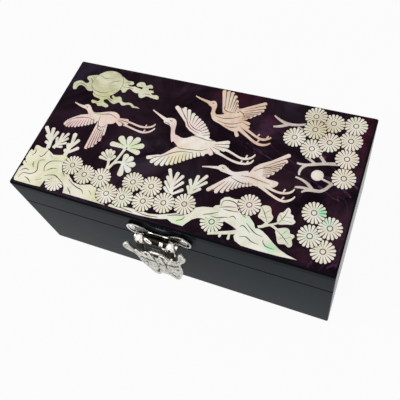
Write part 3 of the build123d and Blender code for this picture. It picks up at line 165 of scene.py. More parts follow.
class Paint:
    """A Principled material with a few helpers for its nodes."""

    def __init__(self, name, **sockets):
        self.mat = bpy.data.materials.new(name)
        self.mat.use_nodes = True
        self.tree = self.mat.node_tree
        self.shader = self.tree.nodes["Principled BSDF"]
        for key, value in sockets.items():
            socket = self.shader.inputs[key.replace("_", " ")]
            socket.default_value = (*value, 1) if isinstance(value, tuple) else value

    def node(self, kind, **values):
        node = self.tree.nodes.new(kind)
        for key, value in values.items():
            setattr(node, key, value)
        return node

    def link(self, a, b):
        self.tree.links.new(a, b)

    def place(self, scale=(1, 1, 1), offset=(0, 0, 0)):
        """Object coordinates in metres, stretched."""
        source = self.node("ShaderNodeTexCoord")
        mapping = self.node("ShaderNodeMapping")
        mapping.inputs["Scale"].default_value = scale
        mapping.inputs["Location"].default_value = offset
        self.link(source.outputs["Object"], mapping.inputs["Vector"])
        return mapping.outputs[0]

    def noise(self, scale, detail=3.0, rough=0.5, distort=0.0, where=None):
        tex = self.node("ShaderNodeTexNoise")
        tex.inputs["Scale"].default_value = scale
        tex.inputs["Detail"].default_value = detail
        tex.inputs["Roughness"].default_value = rough
        tex.inputs["Distortion"].default_value = distort
        self.link(where or self.place(), tex.inputs["Vector"])
        return tex.outputs["Fac"]

    def ramp(self, value, stops):
        """Map a value through (position, colour) stops."""
        node = self.node("ShaderNodeValToRGB")
        marks = node.color_ramp.elements
        while len(marks) < len(stops):
            marks.new(0.5)
        for mark, (position, colour) in zip(marks, stops):
            mark.position = position
            mark.color = (*colour, 1)
        self.link(value, node.inputs[0])
        return node.outputs[0]

    def mask(self, value, low, high):
        """0 below low, 1 above high."""
        node = self.node("ShaderNodeMapRange", interpolation_type="SMOOTHSTEP")
        node.inputs["From Min"].default_value = low
        node.inputs["From Max"].default_value = high
        self.link(value, node.inputs["Value"])
        return node.outputs[0]

    def times(self, a, b):
        node = self.node("ShaderNodeMath", operation="MULTIPLY")
        self.link(a, node.inputs[0])
        if isinstance(b, float):
            node.inputs[1].default_value = b
        else:
            self.link(b, node.inputs[1])
        return node.outputs[0]

    def mix(self, share, a, b):
        """Colour a, with b over it by the share."""
        node = self.node("ShaderNodeMix", data_type="RGBA")
        self.link(share, node.inputs["Factor"])
        for value, socket in ((a, node.inputs[6]), (b, node.inputs[7])):
            if isinstance(value, tuple):
                socket.default_value = (*value, 1)
            else:
                self.link(value, socket)
        return node.outputs[2]

    def near(self, centre, radius):
        """1 at a point on the object, fading to 0 at the radius, all in metres."""
        source = self.node("ShaderNodeTexCoord")
        gap = self.node("ShaderNodeVectorMath", operation="DISTANCE")
        gap.inputs[1].default_value = centre
        self.link(source.outputs["Object"], gap.inputs[0])
        return self.mask(gap.outputs["Value"], radius, 0.0)

    def axis(self, name):
        """The object's own X, Y or Z, in metres."""
        split = self.node("ShaderNodeSeparateXYZ")
        self.link(self.node("ShaderNodeTexCoord").outputs["Object"], split.inputs[0])
        return split.outputs[name]

    def away(self, value, middle=0.0):
        """How far a value lies from the middle."""
        gap = self.node("ShaderNodeMath", operation="SUBTRACT")
        gap.inputs[1].default_value = middle
        self.link(value, gap.inputs[0])
        size = self.node("ShaderNodeMath", operation="ABSOLUTE")
        self.link(gap.outputs[0], size.inputs[0])
        return size.outputs[0]

    def colour(self, value):
        self.link(value, self.shader.inputs["Base Color"])

    def roughness(self, value, low, high):
        node = self.node("ShaderNodeMapRange")
        node.inputs["To Min"].default_value = low
        node.inputs["To Max"].default_value = high
        self.link(value, node.inputs["Value"])
        self.link(node.outputs[0], self.shader.inputs["Roughness"])

    def bump(self, height, strength, distance):
        node = self.node("ShaderNodeBump")
        node.inputs["Strength"].default_value = strength
        node.inputs["Distance"].default_value = distance
        self.link(height, node.inputs["Height"])
        self.link(node.outputs[0], self.shader.inputs["Normal"])


def black_lacquer():
    paint = Paint("black_lacquer", Roughness=0.14, Specular_IOR_Level=0.011,
                  Specular_Tint=(0.84, 0.93, 1.0))
    cloud = paint.noise(22, 4, 0.6)
    base = paint.ramp(cloud, [(0.3, (0.008, 0.013, 0.017)), (0.7, (0.013, 0.02, 0.026))])
    # Painted shade: the chamfers at the seam are painted near black, as shade in the gap between
    # lid and case
    seam_shade_mask = paint.mask(paint.away(paint.axis("Z"), seam_level * mm), 0.0007, 0.0005)
    paint.colour(paint.mix(seam_shade_mask, base, (0.0005, 0.0005, 0.0005)))
    paint.roughness(paint.noise(140, 3), 0.12, 0.24)
    paint.bump(paint.noise(90, 2), 0.05, 0.0005)
    return paint.mat


def on_lid(patch):
    """A patch on the lid's face, given as x, y and radius in millimetres, in metres."""
    x, y, radius, share, colour = patch
    return (x * mm, y * mm, lid_face * mm), radius * mm, share, colour


def purple_lacquer():
    paint = Paint("purple_lacquer", Roughness=0.14, Specular_IOR_Level=0.01)
    drift = paint.noise(26, 4, 0.62, 1.4)
    base = paint.ramp(drift, [(0.34, (0.006, 0.003, 0.006)), (0.5, (0.014, 0.006, 0.011)),
                              (0.64, (0.026, 0.012, 0.021)), (0.8, (0.048, 0.024, 0.055))])
    wisps = paint.noise(12, 5, 0.7, 2.2, paint.place((1, 2.4, 1), (0.4, 0.1, 0)))
    base = paint.mix(paint.times(paint.mask(wisps, 0.56, 0.72), 0.6), base, (0.055, 0.024, 0.062))
    # Thin pale veins, mostly at the right
    line = paint.noise(17, 4, 0.55, 1.2, paint.place((1, 1.6, 1), (0.9, 0.2, 0)))
    vein = paint.mask(paint.away(line, 0.5), 0.006, 0.0)
    spread = paint.near((0.07, 0.0, 0.069), 0.07)
    base = paint.mix(paint.times(vein, spread), base, (0.14, 0.045, 0.12))
    # Red glows, then pale veils, as x, y, radius, share and colour: partly the lacquer's own
    # cloudy colour and partly painted reflection
    red = (0.13, 0.008, 0.03)
    red_glows_and_reflections = [(12, 45, 20, 0.35, red), (86, 36, 26, 0.6, red), (50, -30, 30, 0.3, red),
             (35, 22, 14, 0.5, red), (80, 0, 40, 0.3, red)]
    pale_veils_and_reflections = [(78, -4, 50, 0.7, (0.034, 0.018, 0.028)), (-20, -8, 19, 0.7, (0.045, 0.038, 0.054)),
             (33, 19, 15, 0.8, (0.06, 0.034, 0.066)), (-81, 30, 22, 0.6, (0.026, 0.021, 0.042)),
             (42, 38, 12, 0.6, (0.06, 0.045, 0.07)), (4, -14, 14, 0.5, (0.03, 0.028, 0.034))]
    for patches, low, high in ((red_glows_and_reflections, 0.42, 0.62), (pale_veils_and_reflections, 0.36, 0.6)):
        for centre, radius, share, colour in map(on_lid, patches):
            patch = paint.times(paint.near(centre, radius), paint.mask(drift, low, high))
            base = paint.mix(paint.times(patch, share), base, colour)
    # The board's edges are painted near black on all four sides: partly plain black lacquer and
    # partly painted dark reflection on the rounded edge
    for axis, start, end in (("X", 0.0839, 0.0845), ("Y", 0.0416, 0.0422)):
        side = paint.mask(paint.away(paint.axis(axis)), start, end)
        base = paint.mix(side, base, (0.003, 0.0045, 0.006))
    paint.colour(base)
    paint.roughness(paint.noise(120, 3), 0.1, 0.2)
    paint.bump(paint.noise(60, 2), 0.04, 0.0005)
    return paint.mat


def nacre(name, tones, spots, scale):
    """Mother-of-pearl: drifting tones, fine growth lines and coloured glints."""
    paint = Paint(name, Roughness=0.3, Specular_IOR_Level=0.35)
    drift = paint.noise(scale, 4, 0.6, 1.8)
    stops = [(0.32 + 0.36 * k / (len(tones) - 1), tone) for k, tone in enumerate(tones)]
    base = paint.ramp(drift, stops)
    for centre, radius, share, colour in spots:
        patch = paint.times(paint.near(centre, radius), share)
        base = paint.mix(patch, base, colour)
    lines = paint.noise(300, 3, 0.6, 2, paint.place((0.35, 1, 1), (0.2, 0.3, 0)))
    base = paint.mix(paint.times(paint.mask(lines, 0.5, 0.75), 0.35), base, (0.9, 0.88, 0.8))
    dark = paint.noise(170, 2, 0.5, 1, paint.place((1, 1, 1), (0.5, 0.7, 0)))
    base = paint.mix(paint.times(paint.mask(dark, 0.58, 0.74), 0.3), base, (0.45, 0.37, 0.3))
    glint = paint.noise(230, 3, 0.6, 1.2, paint.place((1, 1, 1), (0.8, 0.1, 0)))
    base = paint.mix(paint.times(paint.mask(glint, 0.57, 0.68), 0.4), base, (0.9, 0.62, 0.6))
    base = paint.mix(paint.times(paint.mask(glint, 0.42, 0.32), 0.35), base, (0.6, 0.86, 0.62))
    paint.colour(base)
    paint.roughness(paint.noise(260, 2), 0.2, 0.4)
    paint.bump(paint.noise(500, 3), 0.12, 0.0002)
    return paint.mat


def engraving_ink():
    paint = Paint("engraving", Roughness=0.35)
    tone = paint.noise(400, 2)
    paint.colour(paint.ramp(tone, [(0.3, (0.012, 0.007, 0.012)), (0.7, (0.05, 0.03, 0.04))]))
    return paint.mat


def nickel(name="nickel", grain=900.0, low=0.16, high=0.32, depth=0.00008,
           tint=(0.72, 0.69, 0.63), patches=180.0, metal=1.0, hollows=False):
    paint = Paint(name, Metallic=metal, Roughness=0.25)
    tarnish = paint.noise(patches, 4, 0.6)
    shade = tuple(value * (0.4 if hollows else 0.8) for value in tint)
    base = paint.ramp(tarnish, [(0.36, shade), (0.5, tint), (0.75, tint)])
    if hollows:
        hollow = paint.node("ShaderNodeAttribute", attribute_name="hollow").outputs["Fac"]
        base = paint.mix(hollow, base, (0.03, 0.023, 0.018))
    paint.colour(base)
    paint.roughness(paint.noise(420, 3), low, high)
    paint.bump(paint.noise(grain, 4, 0.7), 0.35, depth)
    return paint.mat


def plate_nickel():
    """The latch plate: bright rims about a field and barrel painted near black, partly as a
    blackened finish and partly as painted dark reflection.
    """
    paint = Paint("plate_nickel", Metallic=1.0, Roughness=0.3)
    rim = paint.mask(paint.away(paint.axis("Y"), plate_rim * mm), 0.000275, 0.000175)
    tone = paint.noise(420, 3)
    # Painted dark reflection and blackened finish: the field and barrel are near black between
    # the bright rims
    field = paint.ramp(tone, [(0.3, (0.006, 0.005, 0.005)), (0.62, (0.022, 0.017, 0.013)),
                              (0.8, (0.3, 0.25, 0.2))])
    paint.colour(paint.mix(rim, field, (0.84, 0.83, 0.8)))
    paint.bump(paint.noise(900, 4, 0.7), 0.3, 0.00008)
    return paint.mat


# Painted shade: near black metal for the sheet under the barrel, the straps' lower runs and the
# eyelet holes
def painted_shade_metal():
    paint = Paint("painted_shade_metal", Metallic=0.7, Roughness=0.42)
    tone = paint.noise(500, 3)
    paint.colour(paint.ramp(tone, [(0.35, (0.006, 0.005, 0.004)), (0.7, (0.024, 0.018, 0.014))]))
    paint.bump(paint.noise(1200, 3), 0.5, 0.0001)
    return paint.mat


def velvet():
    paint = Paint("velvet", Roughness=0.85, Sheen_Weight=1.0, Sheen_Roughness=0.35,
                  Sheen_Tint=(0.85, 0.25, 0.3), Specular_IOR_Level=0.1)
    nap = paint.noise(90, 5, 0.7, 0.8)
    paint.colour(paint.ramp(nap, [(0.3, (0.09, 0.004, 0.012)), (0.6, (0.17, 0.009, 0.024)),
                                  (0.8, (0.24, 0.018, 0.04))]))
    paint.bump(paint.noise(2600, 3, 0.7), 0.6, 0.0002)
    return paint.mat


def felt():
    paint = Paint("felt", Roughness=1.0, Specular_IOR_Level=0.1)
    wool = paint.noise(700, 5, 0.75, 1.5)
    paint.colour(paint.ramp(wool, [(0.3, (0.01, 0.01, 0.011)), (0.7, (0.035, 0.034, 0.036))]))
    paint.bump(wool, 0.8, 0.0003)
    return paint.mat


def mirror_glass():
    paint = Paint("mirror_glass", Metallic=1.0, Roughness=0.02)
    haze = paint.noise(60, 3)
    paint.colour(paint.ramp(haze, [(0.3, (0.86, 0.88, 0.87)), (0.7, (0.92, 0.93, 0.92))]))
    paint.roughness(paint.noise(200, 2), 0.01, 0.04)
    return paint.mat


# Mesh helpers

def smooth_line(points, steps=4):
    """Points along a smooth line through the given ones."""
    line = [Vector(p) for p in points]
    if len(line) < 3:
        return line
    padded = [line[0] * 2 - line[1]] + line + [line[-1] * 2 - line[-2]]
    out = []
    for k in range(1, len(padded) - 2):
        a, b, c, d = padded[k - 1:k + 3]
        for s in range(steps):
            t = s / steps
            out.append(0.5 * (2 * b + (c - a) * t + (2 * a - 5 * b + 4 * c - d) * t * t
                              + (3 * b - a - 3 * c + d) * t ** 3))
    out.append(line[-1])
    return out


def finish_piece(name, shape, body, material, replaces=(), smooth=True):
    """Turn a bmesh in millimetres into a piece that rides on a body."""
    bmesh.ops.recalc_face_normals(shape, faces=shape.faces)
    mesh = bpy.data.meshes.new(name)
    shape.to_mesh(mesh)
    shape.free()
    mesh.transform(Matrix.Scale(mm, 4))
    for face in mesh.polygons:
        face.use_smooth = smooth
    mats = material if isinstance(material, list) else [material]
    for mat in mats:
        mesh.materials.append(mat)
    piece = add(name, mesh)
    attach(piece, body)
    if replaces:
        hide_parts(*replaces)
    return piece


def bridge(shape, rows, material=0, closed=False):
    """Walls between rows of vertices, each row a loop."""
    count = len(rows[0])
    following = rows[1:] + rows[:1] if closed else rows[1:]
    for one, two in zip(rows, following):
        for k in range(count):
            after = (k + 1) % count
            wall = shape.faces.new((one[k], one[after], two[after], two[k]))
            wall.material_index = material


def caps(shape, rows, material=0):
    """Ends for the walls."""
    for loop in (rows[0], reversed(rows[-1])):
        shape.faces.new(loop).material_index = material


def section(shape, a, b, low, high):
    """A cut across an engraved line."""
    return [shape.verts.new((p.x, p.y, z)) for p, z in ((a, low), (a, high), (b, high), (b, low))]


def strip(shape, points, widths, low, high):
    """A flat engraved line with thickness: its widths at the start, middle and end."""
    line = smooth_line([Vector((x, y, 0)) for x, y in points])
    last = len(line) - 1
    rows = []
    for k, point in enumerate(line):
        along = (line[min(k + 1, last)] - line[max(k - 1, 0)]).normalized()
        share = 2 * k / last
        first = int(min(share, 1))
        width = widths[first] + (widths[first + 1] - widths[first]) * (share - first)
        side = Vector((-along.y, along.x, 0)) * width / 2
        rows.append(section(shape, point + side, point - side, low, high))
    bridge(shape, rows)
    caps(shape, rows)


def ring(shape, centre, radius, width, low, high):
    """A flat engraved ring."""
    sides = 20
    rows = []
    for k in range(sides):
        turn = math.tau * k / sides
        way = Vector((math.cos(turn), math.sin(turn), 0))
        spot = Vector((centre[0], centre[1], 0))
        rows.append(section(shape, spot + way * (radius + width / 2),
                            spot + way * (radius - width / 2), low, high))
    bridge(shape, rows, closed=True)


def tube(shape, path, radius, material=0):
    """A round bar along a path of points, with domed ends."""
    last = len(path) - 1
    sides = 8
    rows = []
    guide = Vector((0, 1, 0))
    stations = []
    for k, point in enumerate(path):
        along = (path[min(k + 1, last)] - path[max(k - 1, 0)]).normalized()
        if k == 0:
            for share, size in ((0.9, 0.35), (0.6, 0.75)):
                stations.append((point - along * radius * share, along, radius * size))
        stations.append((point, along, radius))
        if k == last:
            for share, size in ((0.6, 0.75), (0.9, 0.35)):
                stations.append((point + along * radius * share, along, radius * size))
    for point, along, reach in stations:
        side = along.cross(guide)
        side = side.normalized() if side.length > 0.01 else Vector((1, 0, 0))
        lift = side.cross(along).normalized()
        row = []
        for k in range(sides):
            turn = math.tau * k / sides
            row.append(shape.verts.new(point + side * (reach * math.cos(turn))
                                       + lift * (reach * math.sin(turn))))
        rows.append(row)
    bridge(shape, rows, material)
    caps(shape, rows, material)


# Engraving of the picture

def between(root_0, root_1, tips, start=0.12):
    """Lines between feathers whose roots are spread along a line."""
    end = 0.99
    last = len(tips) - 1
    runs = []
    for k in range(last):
        roots = [Vector(root_0).lerp(Vector(root_1), (k + side) / last) for side in (0, 1)]
        a = (roots[0] + roots[1]) / 2
        b = (Vector(tips[k]) + Vector(tips[k + 1])) / 2
        runs.append([tuple(a.lerp(b, start)), tuple(a.lerp(b, (start + end) / 2)),
                     tuple(a.lerp(b, end))])
    return runs


def clefts(root, tips, reach):
    """Dark lines between neighbouring leaflets that leave one root."""
    runs = []
    for one, two in zip(tips, tips[1:]):
        middle = (Vector(one) + Vector(two)) / 2
        way = middle - Vector(root)
        runs.append([tuple(Vector(root) + way * share) for share in (0.22, 0.5, reach)])
    return runs


# Feather gaps and engraved lines of each crane, in millimetres on the lid
left_gaps = (
    between((-70.4, 1.6), (-57.4, 6.4), [
        (-72.9, -2.3), (-71.4, -3), (-69.8, -3), (-68, -2.5), (-66.2, -2.2), (-64.4, -1.4),
        (-62.6, -0.7), (-60.8, 0.2), (-59.2, 1), (-57.6, 2), (-56.2, 3)])
    + between((-54.4, 5.6), (-49.6, 5.6), [
        (-53.4, -13.4), (-52.2, -12.3), (-50.7, -11.5), (-49.7, -9.4), (-48.5, -7.2),
        (-48.2, -3.2)], 0.25)
    + between((-46.5, 8.6), (-46.5, 8.6), [(-38.2, 9), (-37.8, 7.3), (-40.9, 5.4)], 0.3))
left_lines = [
    [(-72, 0.6), (-68, 3.6), (-62, 5.4), (-57, 4.6)],
    [(-55, 8), (-54.6, 5), (-53.4, 2), (-51, 1.6), (-49, 3.4)],
    [(-60, 8.8), (-55, 9.4), (-50, 10.6), (-45.4, 9)],
    [(-54.2, 3.2), (-52.6, 0), (-50, -0.6)],
    [(-66, 12.4), (-65.3, 11.8), (-64.8, 12.2)]]
large_gaps = (
    between((-7.4, 16.4), (3, 9.8), [
        (-16.6, 24.9), (-11.8, 25.2), (-9, 24.4), (-5.6, 22.8), (-3.2, 21.5), (-1, 20.3),
        (1.2, 19), (2.9, 17.6), (4.4, 16), (5.8, 14.4), (7.1, 12.8), (7.7, 11)], 0.22)
    + between((-13, -6.6), (6.4, 1.8), [
        (-19.3, -9.6), (-16.2, -11.7), (-13.2, -12.5), (-10, -12.1), (-7.4, -11), (-5.2, -10.2),
        (-3.4, -9), (-1.6, -7.8), (0, -6.4), (1.6, -5.2), (3.2, -4.2), (4.8, -3), (6.6, -1.8),
        (8.8, -0.8)], 0.2)
    + between((8, 6), (8, 6), [
        (19, 10.2), (19.4, 7.8), (18.6, 5.2), (15.8, 2.8), (12.6, 0.6)], 0.35))
large_lines = [
    [(-11.4, 21.6), (-8.4, 18.6), (-5.6, 14.6), (-2.6, 12.6), (1.6, 11.2)],
    [(-6, 16.8), (-3.6, 14.6), (-0.6, 13.2), (2.6, 13)],
    [(-16.6, -8.4), (-11.6, -6.6), (-7.6, -3.6), (-3, -1.4), (3, -0.6)],
    [(-8.6, 1.6), (-4.6, 0.2), (0.4, 0.8), (6, 1.6), (9.4, 3.6)],
    [(-2, 9), (3, 9), (8, 8.4), (12, 9.4)],
    [(-18.6, 13.4), (-16.6, 13.2), (-15.2, 12.4)],
    [(-16.4, 15.4), (-15.6, 14.9), (-14.8, 15.3)]]
back_gaps = (
    between((9.6, 27), (15.6, 27), [
        (4.9, 41.3), (7.6, 41.3), (9.9, 41), (12.2, 39.2), (13.8, 36.5), (14.7, 33.9),
        (15.7, 31.9)], 0.2)
    + between((17.4, 30.6), (19.4, 25), [
        (29.6, 38), (29.7, 35.6), (29.5, 33.4), (28.4, 31.4), (26.4, 29.8), (24.8, 28.2),
        (22.8, 26.8)], 0.15)
    + between((19.6, 24.6), (19.6, 23.6), [(25.2, 23.2), (25.4, 20.8)], 0.2))
back_lines = [
    [(8.6, 31), (9.6, 28.8), (12.2, 28), (15.2, 28.4)],
    [(17, 30), (19.4, 29), (21, 27)],
    [(6, 24), (10, 23.4), (14.6, 24.4), (18.6, 26.6)],
    [(8, 21.6), (12.6, 20.6), (17, 21.4), (20.6, 23.4)],
    [(12.6, 19.4), (16.4, 19), (19.6, 20.4)],
    [(1.4, 31.8), (2.1, 31.3), (2.8, 31.7)]]
right_gaps = (
    between((35.6, -1.4), (39.6, -4.6), [
        (49.9, 10.9), (49.6, 7.3), (48.4, 5.2), (47.9, 3.4), (46.7, 1.6), (45.4, -0.7),
        (43.6, -2.6), (42, -4)], 0.25)
    + between((24.8, -9.8), (35.4, -8.4), [
        (17.2, -18.8), (21.4, -18.9), (24.2, -18), (26.6, -16.6), (28.4, -15), (30, -14),
        (31.6, -13), (33.4, -12.2), (35.2, -11.6), (36.8, -10.8)], 0.2))
right_lines = [
    [(35.6, -2.6), (38.4, -0.2), (41.4, 1.2), (43.4, 1.6)],
    [(26.2, -8.8), (29.4, -9.8), (33.4, -10.4), (37.4, -9.4)],
    [(30.6, -6.6), (35, -6.2), (40, -6.8), (45, -7.4)],
    [(20, -4.5), (20.7, -5), (21.4, -4.6)]]
cranes = (("left", left_gaps, left_lines), ("large", large_gaps, large_lines),
          ("back", back_gaps, back_lines), ("right", right_gaps, right_lines))

trunk = [
    [(-73, -19.5), (-73.6, -21.3), (-73.9, -22.8), (-75.1, -24.3), (-76.3, -23.7)],
    [(-71.8, -25.6), (-73.9, -26.2), (-74.6, -27.7), (-73.9, -29.8), (-73, -31.9), (-73.3, -33.7),
     (-75.7, -35.3), (-79.3, -35.6), (-80.5, -37.1), (-80.8, -38.9)],
    [(-61.8, -23.7), (-64.8, -24.3), (-67.8, -25.3), (-69.3, -26.8), (-69.9, -28.9), (-69.3, -31),
     (-68.4, -31.9)],
    [(-62.7, -28.6), (-64.8, -28.9), (-66.6, -30.1), (-67.8, -31.3)],
    [(-54.5, -36.2), (-56.9, -34.7), (-59.3, -33.4), (-61.8, -32.5), (-64.8, -33.1),
     (-67.2, -34.3)],
    [(-77.5, -28), (-76.9, -29.8), (-75.7, -31.3)],
    [(-81.8, -35.3), (-80.8, -33.7), (-79, -33.1), (-77.2, -33.7)],
    [(-70.8, -38), (-67.8, -36.2)], [(-82.6, -28.8), (-80.8, -29.8)],
    [(-80.6, -20.4), (-79.4, -22.6), (-80.6, -25)], [(-70.6, -21.8), (-68.6, -23)],
    [(-77.6, -37.6), (-75, -38.4), (-72.6, -40)],
    [(-53.3, -32.5), (-50.2, -34.3), (-46.6, -35.6), (-43.6, -36.2), (-42.1, -38)],
    [(-51.8, -36.8), (-49.6, -38.6), (-48.1, -40.1)], [(-39.8, -35.3), (-37.3, -37.4)],
    [(-60.2, -26.8), (-58.7, -29.2), (-56.3, -31.6)]]

branch = [
    [(27.1, -24.7), (26.8, -22.5), (28.3, -21.2), (30.4, -20.9), (32.8, -21.3), (35.3, -23.1),
     (37.4, -25.9), (39.8, -27.1)],
    [(26.2, -25.6), (29.8, -24.3), (33.8, -23.4)],
    [(28.3, -25.9), (31.3, -25.9), (35.6, -25.3)],
    [(20.1, -31.3), (23.8, -29.8), (26.8, -28)],
    [(24.1, -31), (27.1, -31), (30.1, -29.8), (31.9, -29.5)],
    [(32.5, -29.2), (34.1, -28.1), (35.9, -29.2)], [(38.6, -32.2), (40.1, -31.3), (44, -33.7)],
    [(40, -36.8), (43, -36.2), (46.1, -37.7), (49.4, -38)],
    [(50.6, -35.3), (51.2, -36.8), (53, -38), (56.4, -38.3)],
    [(-12, -39), (-6, -39.6), (0, -38.8)], [(4, -36.8), (8, -35.2), (12, -34.6)],
    [(9, -38), (11.4, -36.6), (12.4, -34.8)], [(-20, -39.4), (-16, -39.8), (-13, -40)],
    [(41, -29.6), (43.6, -31.6), (46.6, -33.4), (50, -34)]]

flowers = [
    (57.3, 28.3), (55.8, 36.1), (65, 34), (75.6, 35.2), (65.8, 22.6), (75.3, 25.9), (48.8, 21.4),
    (58.6, 17), (75.8, 15.5), (76.8, 4.8), (68.5, -16), (77, -21.5), (69.6, -27.6), (76.8, -33),
    (-55.4, -24.3), (-46.6, -27.6), (-37.4, -27), (-30.4, -34.3), (-21.6, -34), (-19.9, -24.6),
    (-9.9, -24.3), (-10.6, -33), (-0.4, -31), (9.6, -28.7), (39.3, -20.4), (25.4, -33.6)]

leaves = (
    clefts((-31.6, -6.8), [(-41.8, -6.5), (-38.4, -1.1), (-32.6, 0.4), (-27.4, 0.6),
                           (-23.2, -3.2), (-23.7, -8.3)], 0.8)
    + clefts((-37.4, -16.4), [(-43.9, -15.6), (-43.6, -12.8), (-41.9, -10.6), (-39.8, -9.8),
                              (-37.5, -10.2), (-35.4, -12.8)], 0.75)
    + clefts((-29.4, -16), [(-30, -10.2), (-25.8, -11.2), (-22.9, -15.2), (-24, -19.9),
                              (-28.2, -23.5)], 0.8)
    + [[(45.4, -20), (47.4, -22.6), (49.8, -26.4)], [(47.4, -22.6), (49.4, -20.4)],
       [(48.6, -24.2), (51, -23.6)], [(46, -24.4), (48.2, -25)],
       [(57.2, -17.6), (56.4, -21.6), (54.8, -25.4)], [(56.4, -21.8), (59.8, -21.2)],
       [(56, -23.6), (60.4, -23.6)], [(54.4, -21.4), (56, -23.6)],
       [(55, -29), (58.6, -31.4), (61.8, -34.2)], [(57.6, -30.6), (59.6, -27.8)],
       [(59.4, -32), (62.2, -30.4)], [(57, -33.2), (58.6, -31.6)]])

clouds = [
    [(-69.8, 25.8), (-67, 24), (-63.4, 23.2), (-59.6, 23.6), (-56.2, 26)],
    [(-79.6, 25.6), (-77.6, 26.6), (-74.8, 26.2), (-72.4, 25)],
    [(-73.6, 31.4), (-71.6, 30.2), (-71, 28.6)], [(-72, 32.6), (-69.6, 32.2)],
    [(-51.4, 33.8), (-49.4, 33.4), (-48.6, 34)], [(-52.6, 31), (-50.4, 29.6)],
    [(-50.6, 30), (-47.6, 30.2), (-45, 30)], [(-38.4, 32.6), (-37, 33.4)],
    [(-38, 28), (-35.4, 28.4), (-33.4, 28)], [(-42, 34), (-40.4, 33.4)],
    [(-57, 20.6), (-54.6, 19.6), (-52.6, 19)], [(-62.6, 16.4), (-60, 16)],
    [(-68, 34.6), (-64.6, 33.2), (-60.4, 34.2)], [(-55, 33.4), (-58.4, 32), (-60.6, 30.2)]]


def picture_engraving():
    ink = engraving_ink()
    low, high = lid_face - 0.05, lid_face + 0.012

    def lines(name, runs, width=0.4, rings=(), gaps=()):
        shape = bmesh.new()
        for run in runs:
            strip(shape, run, (width * 0.4, width, width * 0.4), low, high)
        for run in gaps:
            strip(shape, run, (0.16, 0.34, 0.5), low, high)
        for centre, radius in rings:
            ring(shape, centre, radius, 0.42, low, high)
        finish_piece(name, shape, "lid", ink, smooth=False)

    for name, gaps, runs in cranes:
        lines(f"crane_{name}_engraving", runs, 0.48, gaps=gaps)
    lines("trunk_engraving", trunk, 0.55)
    lines("branch_engraving", branch, 0.5)
    lines("flower_engraving", [], rings=[(centre, 1.25) for centre in flowers])
    lines("leaf_engraving", leaves, 0.36)
    lines("cloud_engraving", clouds, 0.36)


# The butterfly and its arms

# Places in the butterfly's list of materials
# The second place holds painted shade, near black metal where shadow falls
painted_shade_slot = 1
strap_metal = 2

# How far the butterfly hangs askew, and how its left wing tip droops beyond a distance
skew = 0.07
droop_slope = 0.12
droop_start = 9


def hang(x, out, up):
    """A point of the hanging butterfly, in the box's frame."""
    droop = droop_slope * max(0.0, -x - droop_start)
    out, up = out + droop, up - droop
    x, up = x - skew * up, up + skew * x
    y = -out * math.cos(lean) + up * math.sin(lean)
    z = out * math.sin(lean) + up * math.cos(lean)
    return Vector((x, box_front - pin_out + y, pin_level + z))


def arc_outline(points):
    """Points along arcs, each through three of the given points."""
    steps = 5
    out = []
    for k in range(0, len(points) - 2, 2):
        a, b, c = (Vector(p) for p in points[k:k + 3])
        for s in range(steps):
            t = s / steps
            out.append((1 - t) ** 2 * a + 2 * (1 - t) * t * (2 * b - (a + c) / 2) + t * t * c)
    return out


def both_sides(points):
    return points + [(-x, z) for x, z in reversed(points[:-1])]


wing_points = [
    (0, -3.7), (3, -3.9), (5.4, -5.4), (8, -7.4), (10.6, -6.6), (12.6, -4), (13.4, 0.2),
    (15.2, 1.3), (16.8, -0.8), (16.6, -3.2), (15.2, -5.8), (13.2, -8.2), (12, -10.8),
    (11.8, -13.4), (11.7, -16.6), (10.6, -21.2), (8.8, -26.4), (6.8, -30.2), (4.4, -30),
    (2.4, -27.6), (0, -27)]

# Relief of the wings: lines and spots of the right half, in the hanging frame
veins = [
    [(2, -11), (6, -9.6), (10, -7), (13.6, -4.4)],
    [(2, -12.6), (6, -11.8), (9.4, -10.6), (12.4, -7.4)],
    [(2.4, -17.4), (5, -17.8), (8, -16), (10.8, -14.4)],
    [(2, -19.6), (3.8, -21.6), (5.6, -25), (7, -28.4)],
    [(3, -19), (5.6, -23.6), (8.4, -26.4)],
    [(9.6, -19.6), (10.2, -22), (9.2, -25)]]
grooves = [
    ([(14.4, -2.4), (12.4, -6.4), (9.8, -8.6), (7.4, -9.6)], 0.45),
    ([(3.6, -15.6), (7.2, -15.4), (11.6, -12.4)], 0.45),
    ([(2.5, -9.8), (2.7, -13), (2.5, -17), (2, -20.6)], 0.3),
    ([(3.4, -24.2), (4.6, -26.8), (5, -29)], 0.3)]
oval = (6.4, -21.4)
pits = [((9, -18.3), 0.6), ((15.1, -0.4), 0.6), ((9.2, -23.2), 0.35)]


def to_line(spot, line):
    """Distance from a point to a line of points."""
    best = 99.0
    for a, b in zip(line, line[1:]):
        run = b - a
        share = max(0.0, min(1.0, (spot - a).dot(run) / run.length_squared))
        best = min(best, (spot - a - run * share).length)
    return best


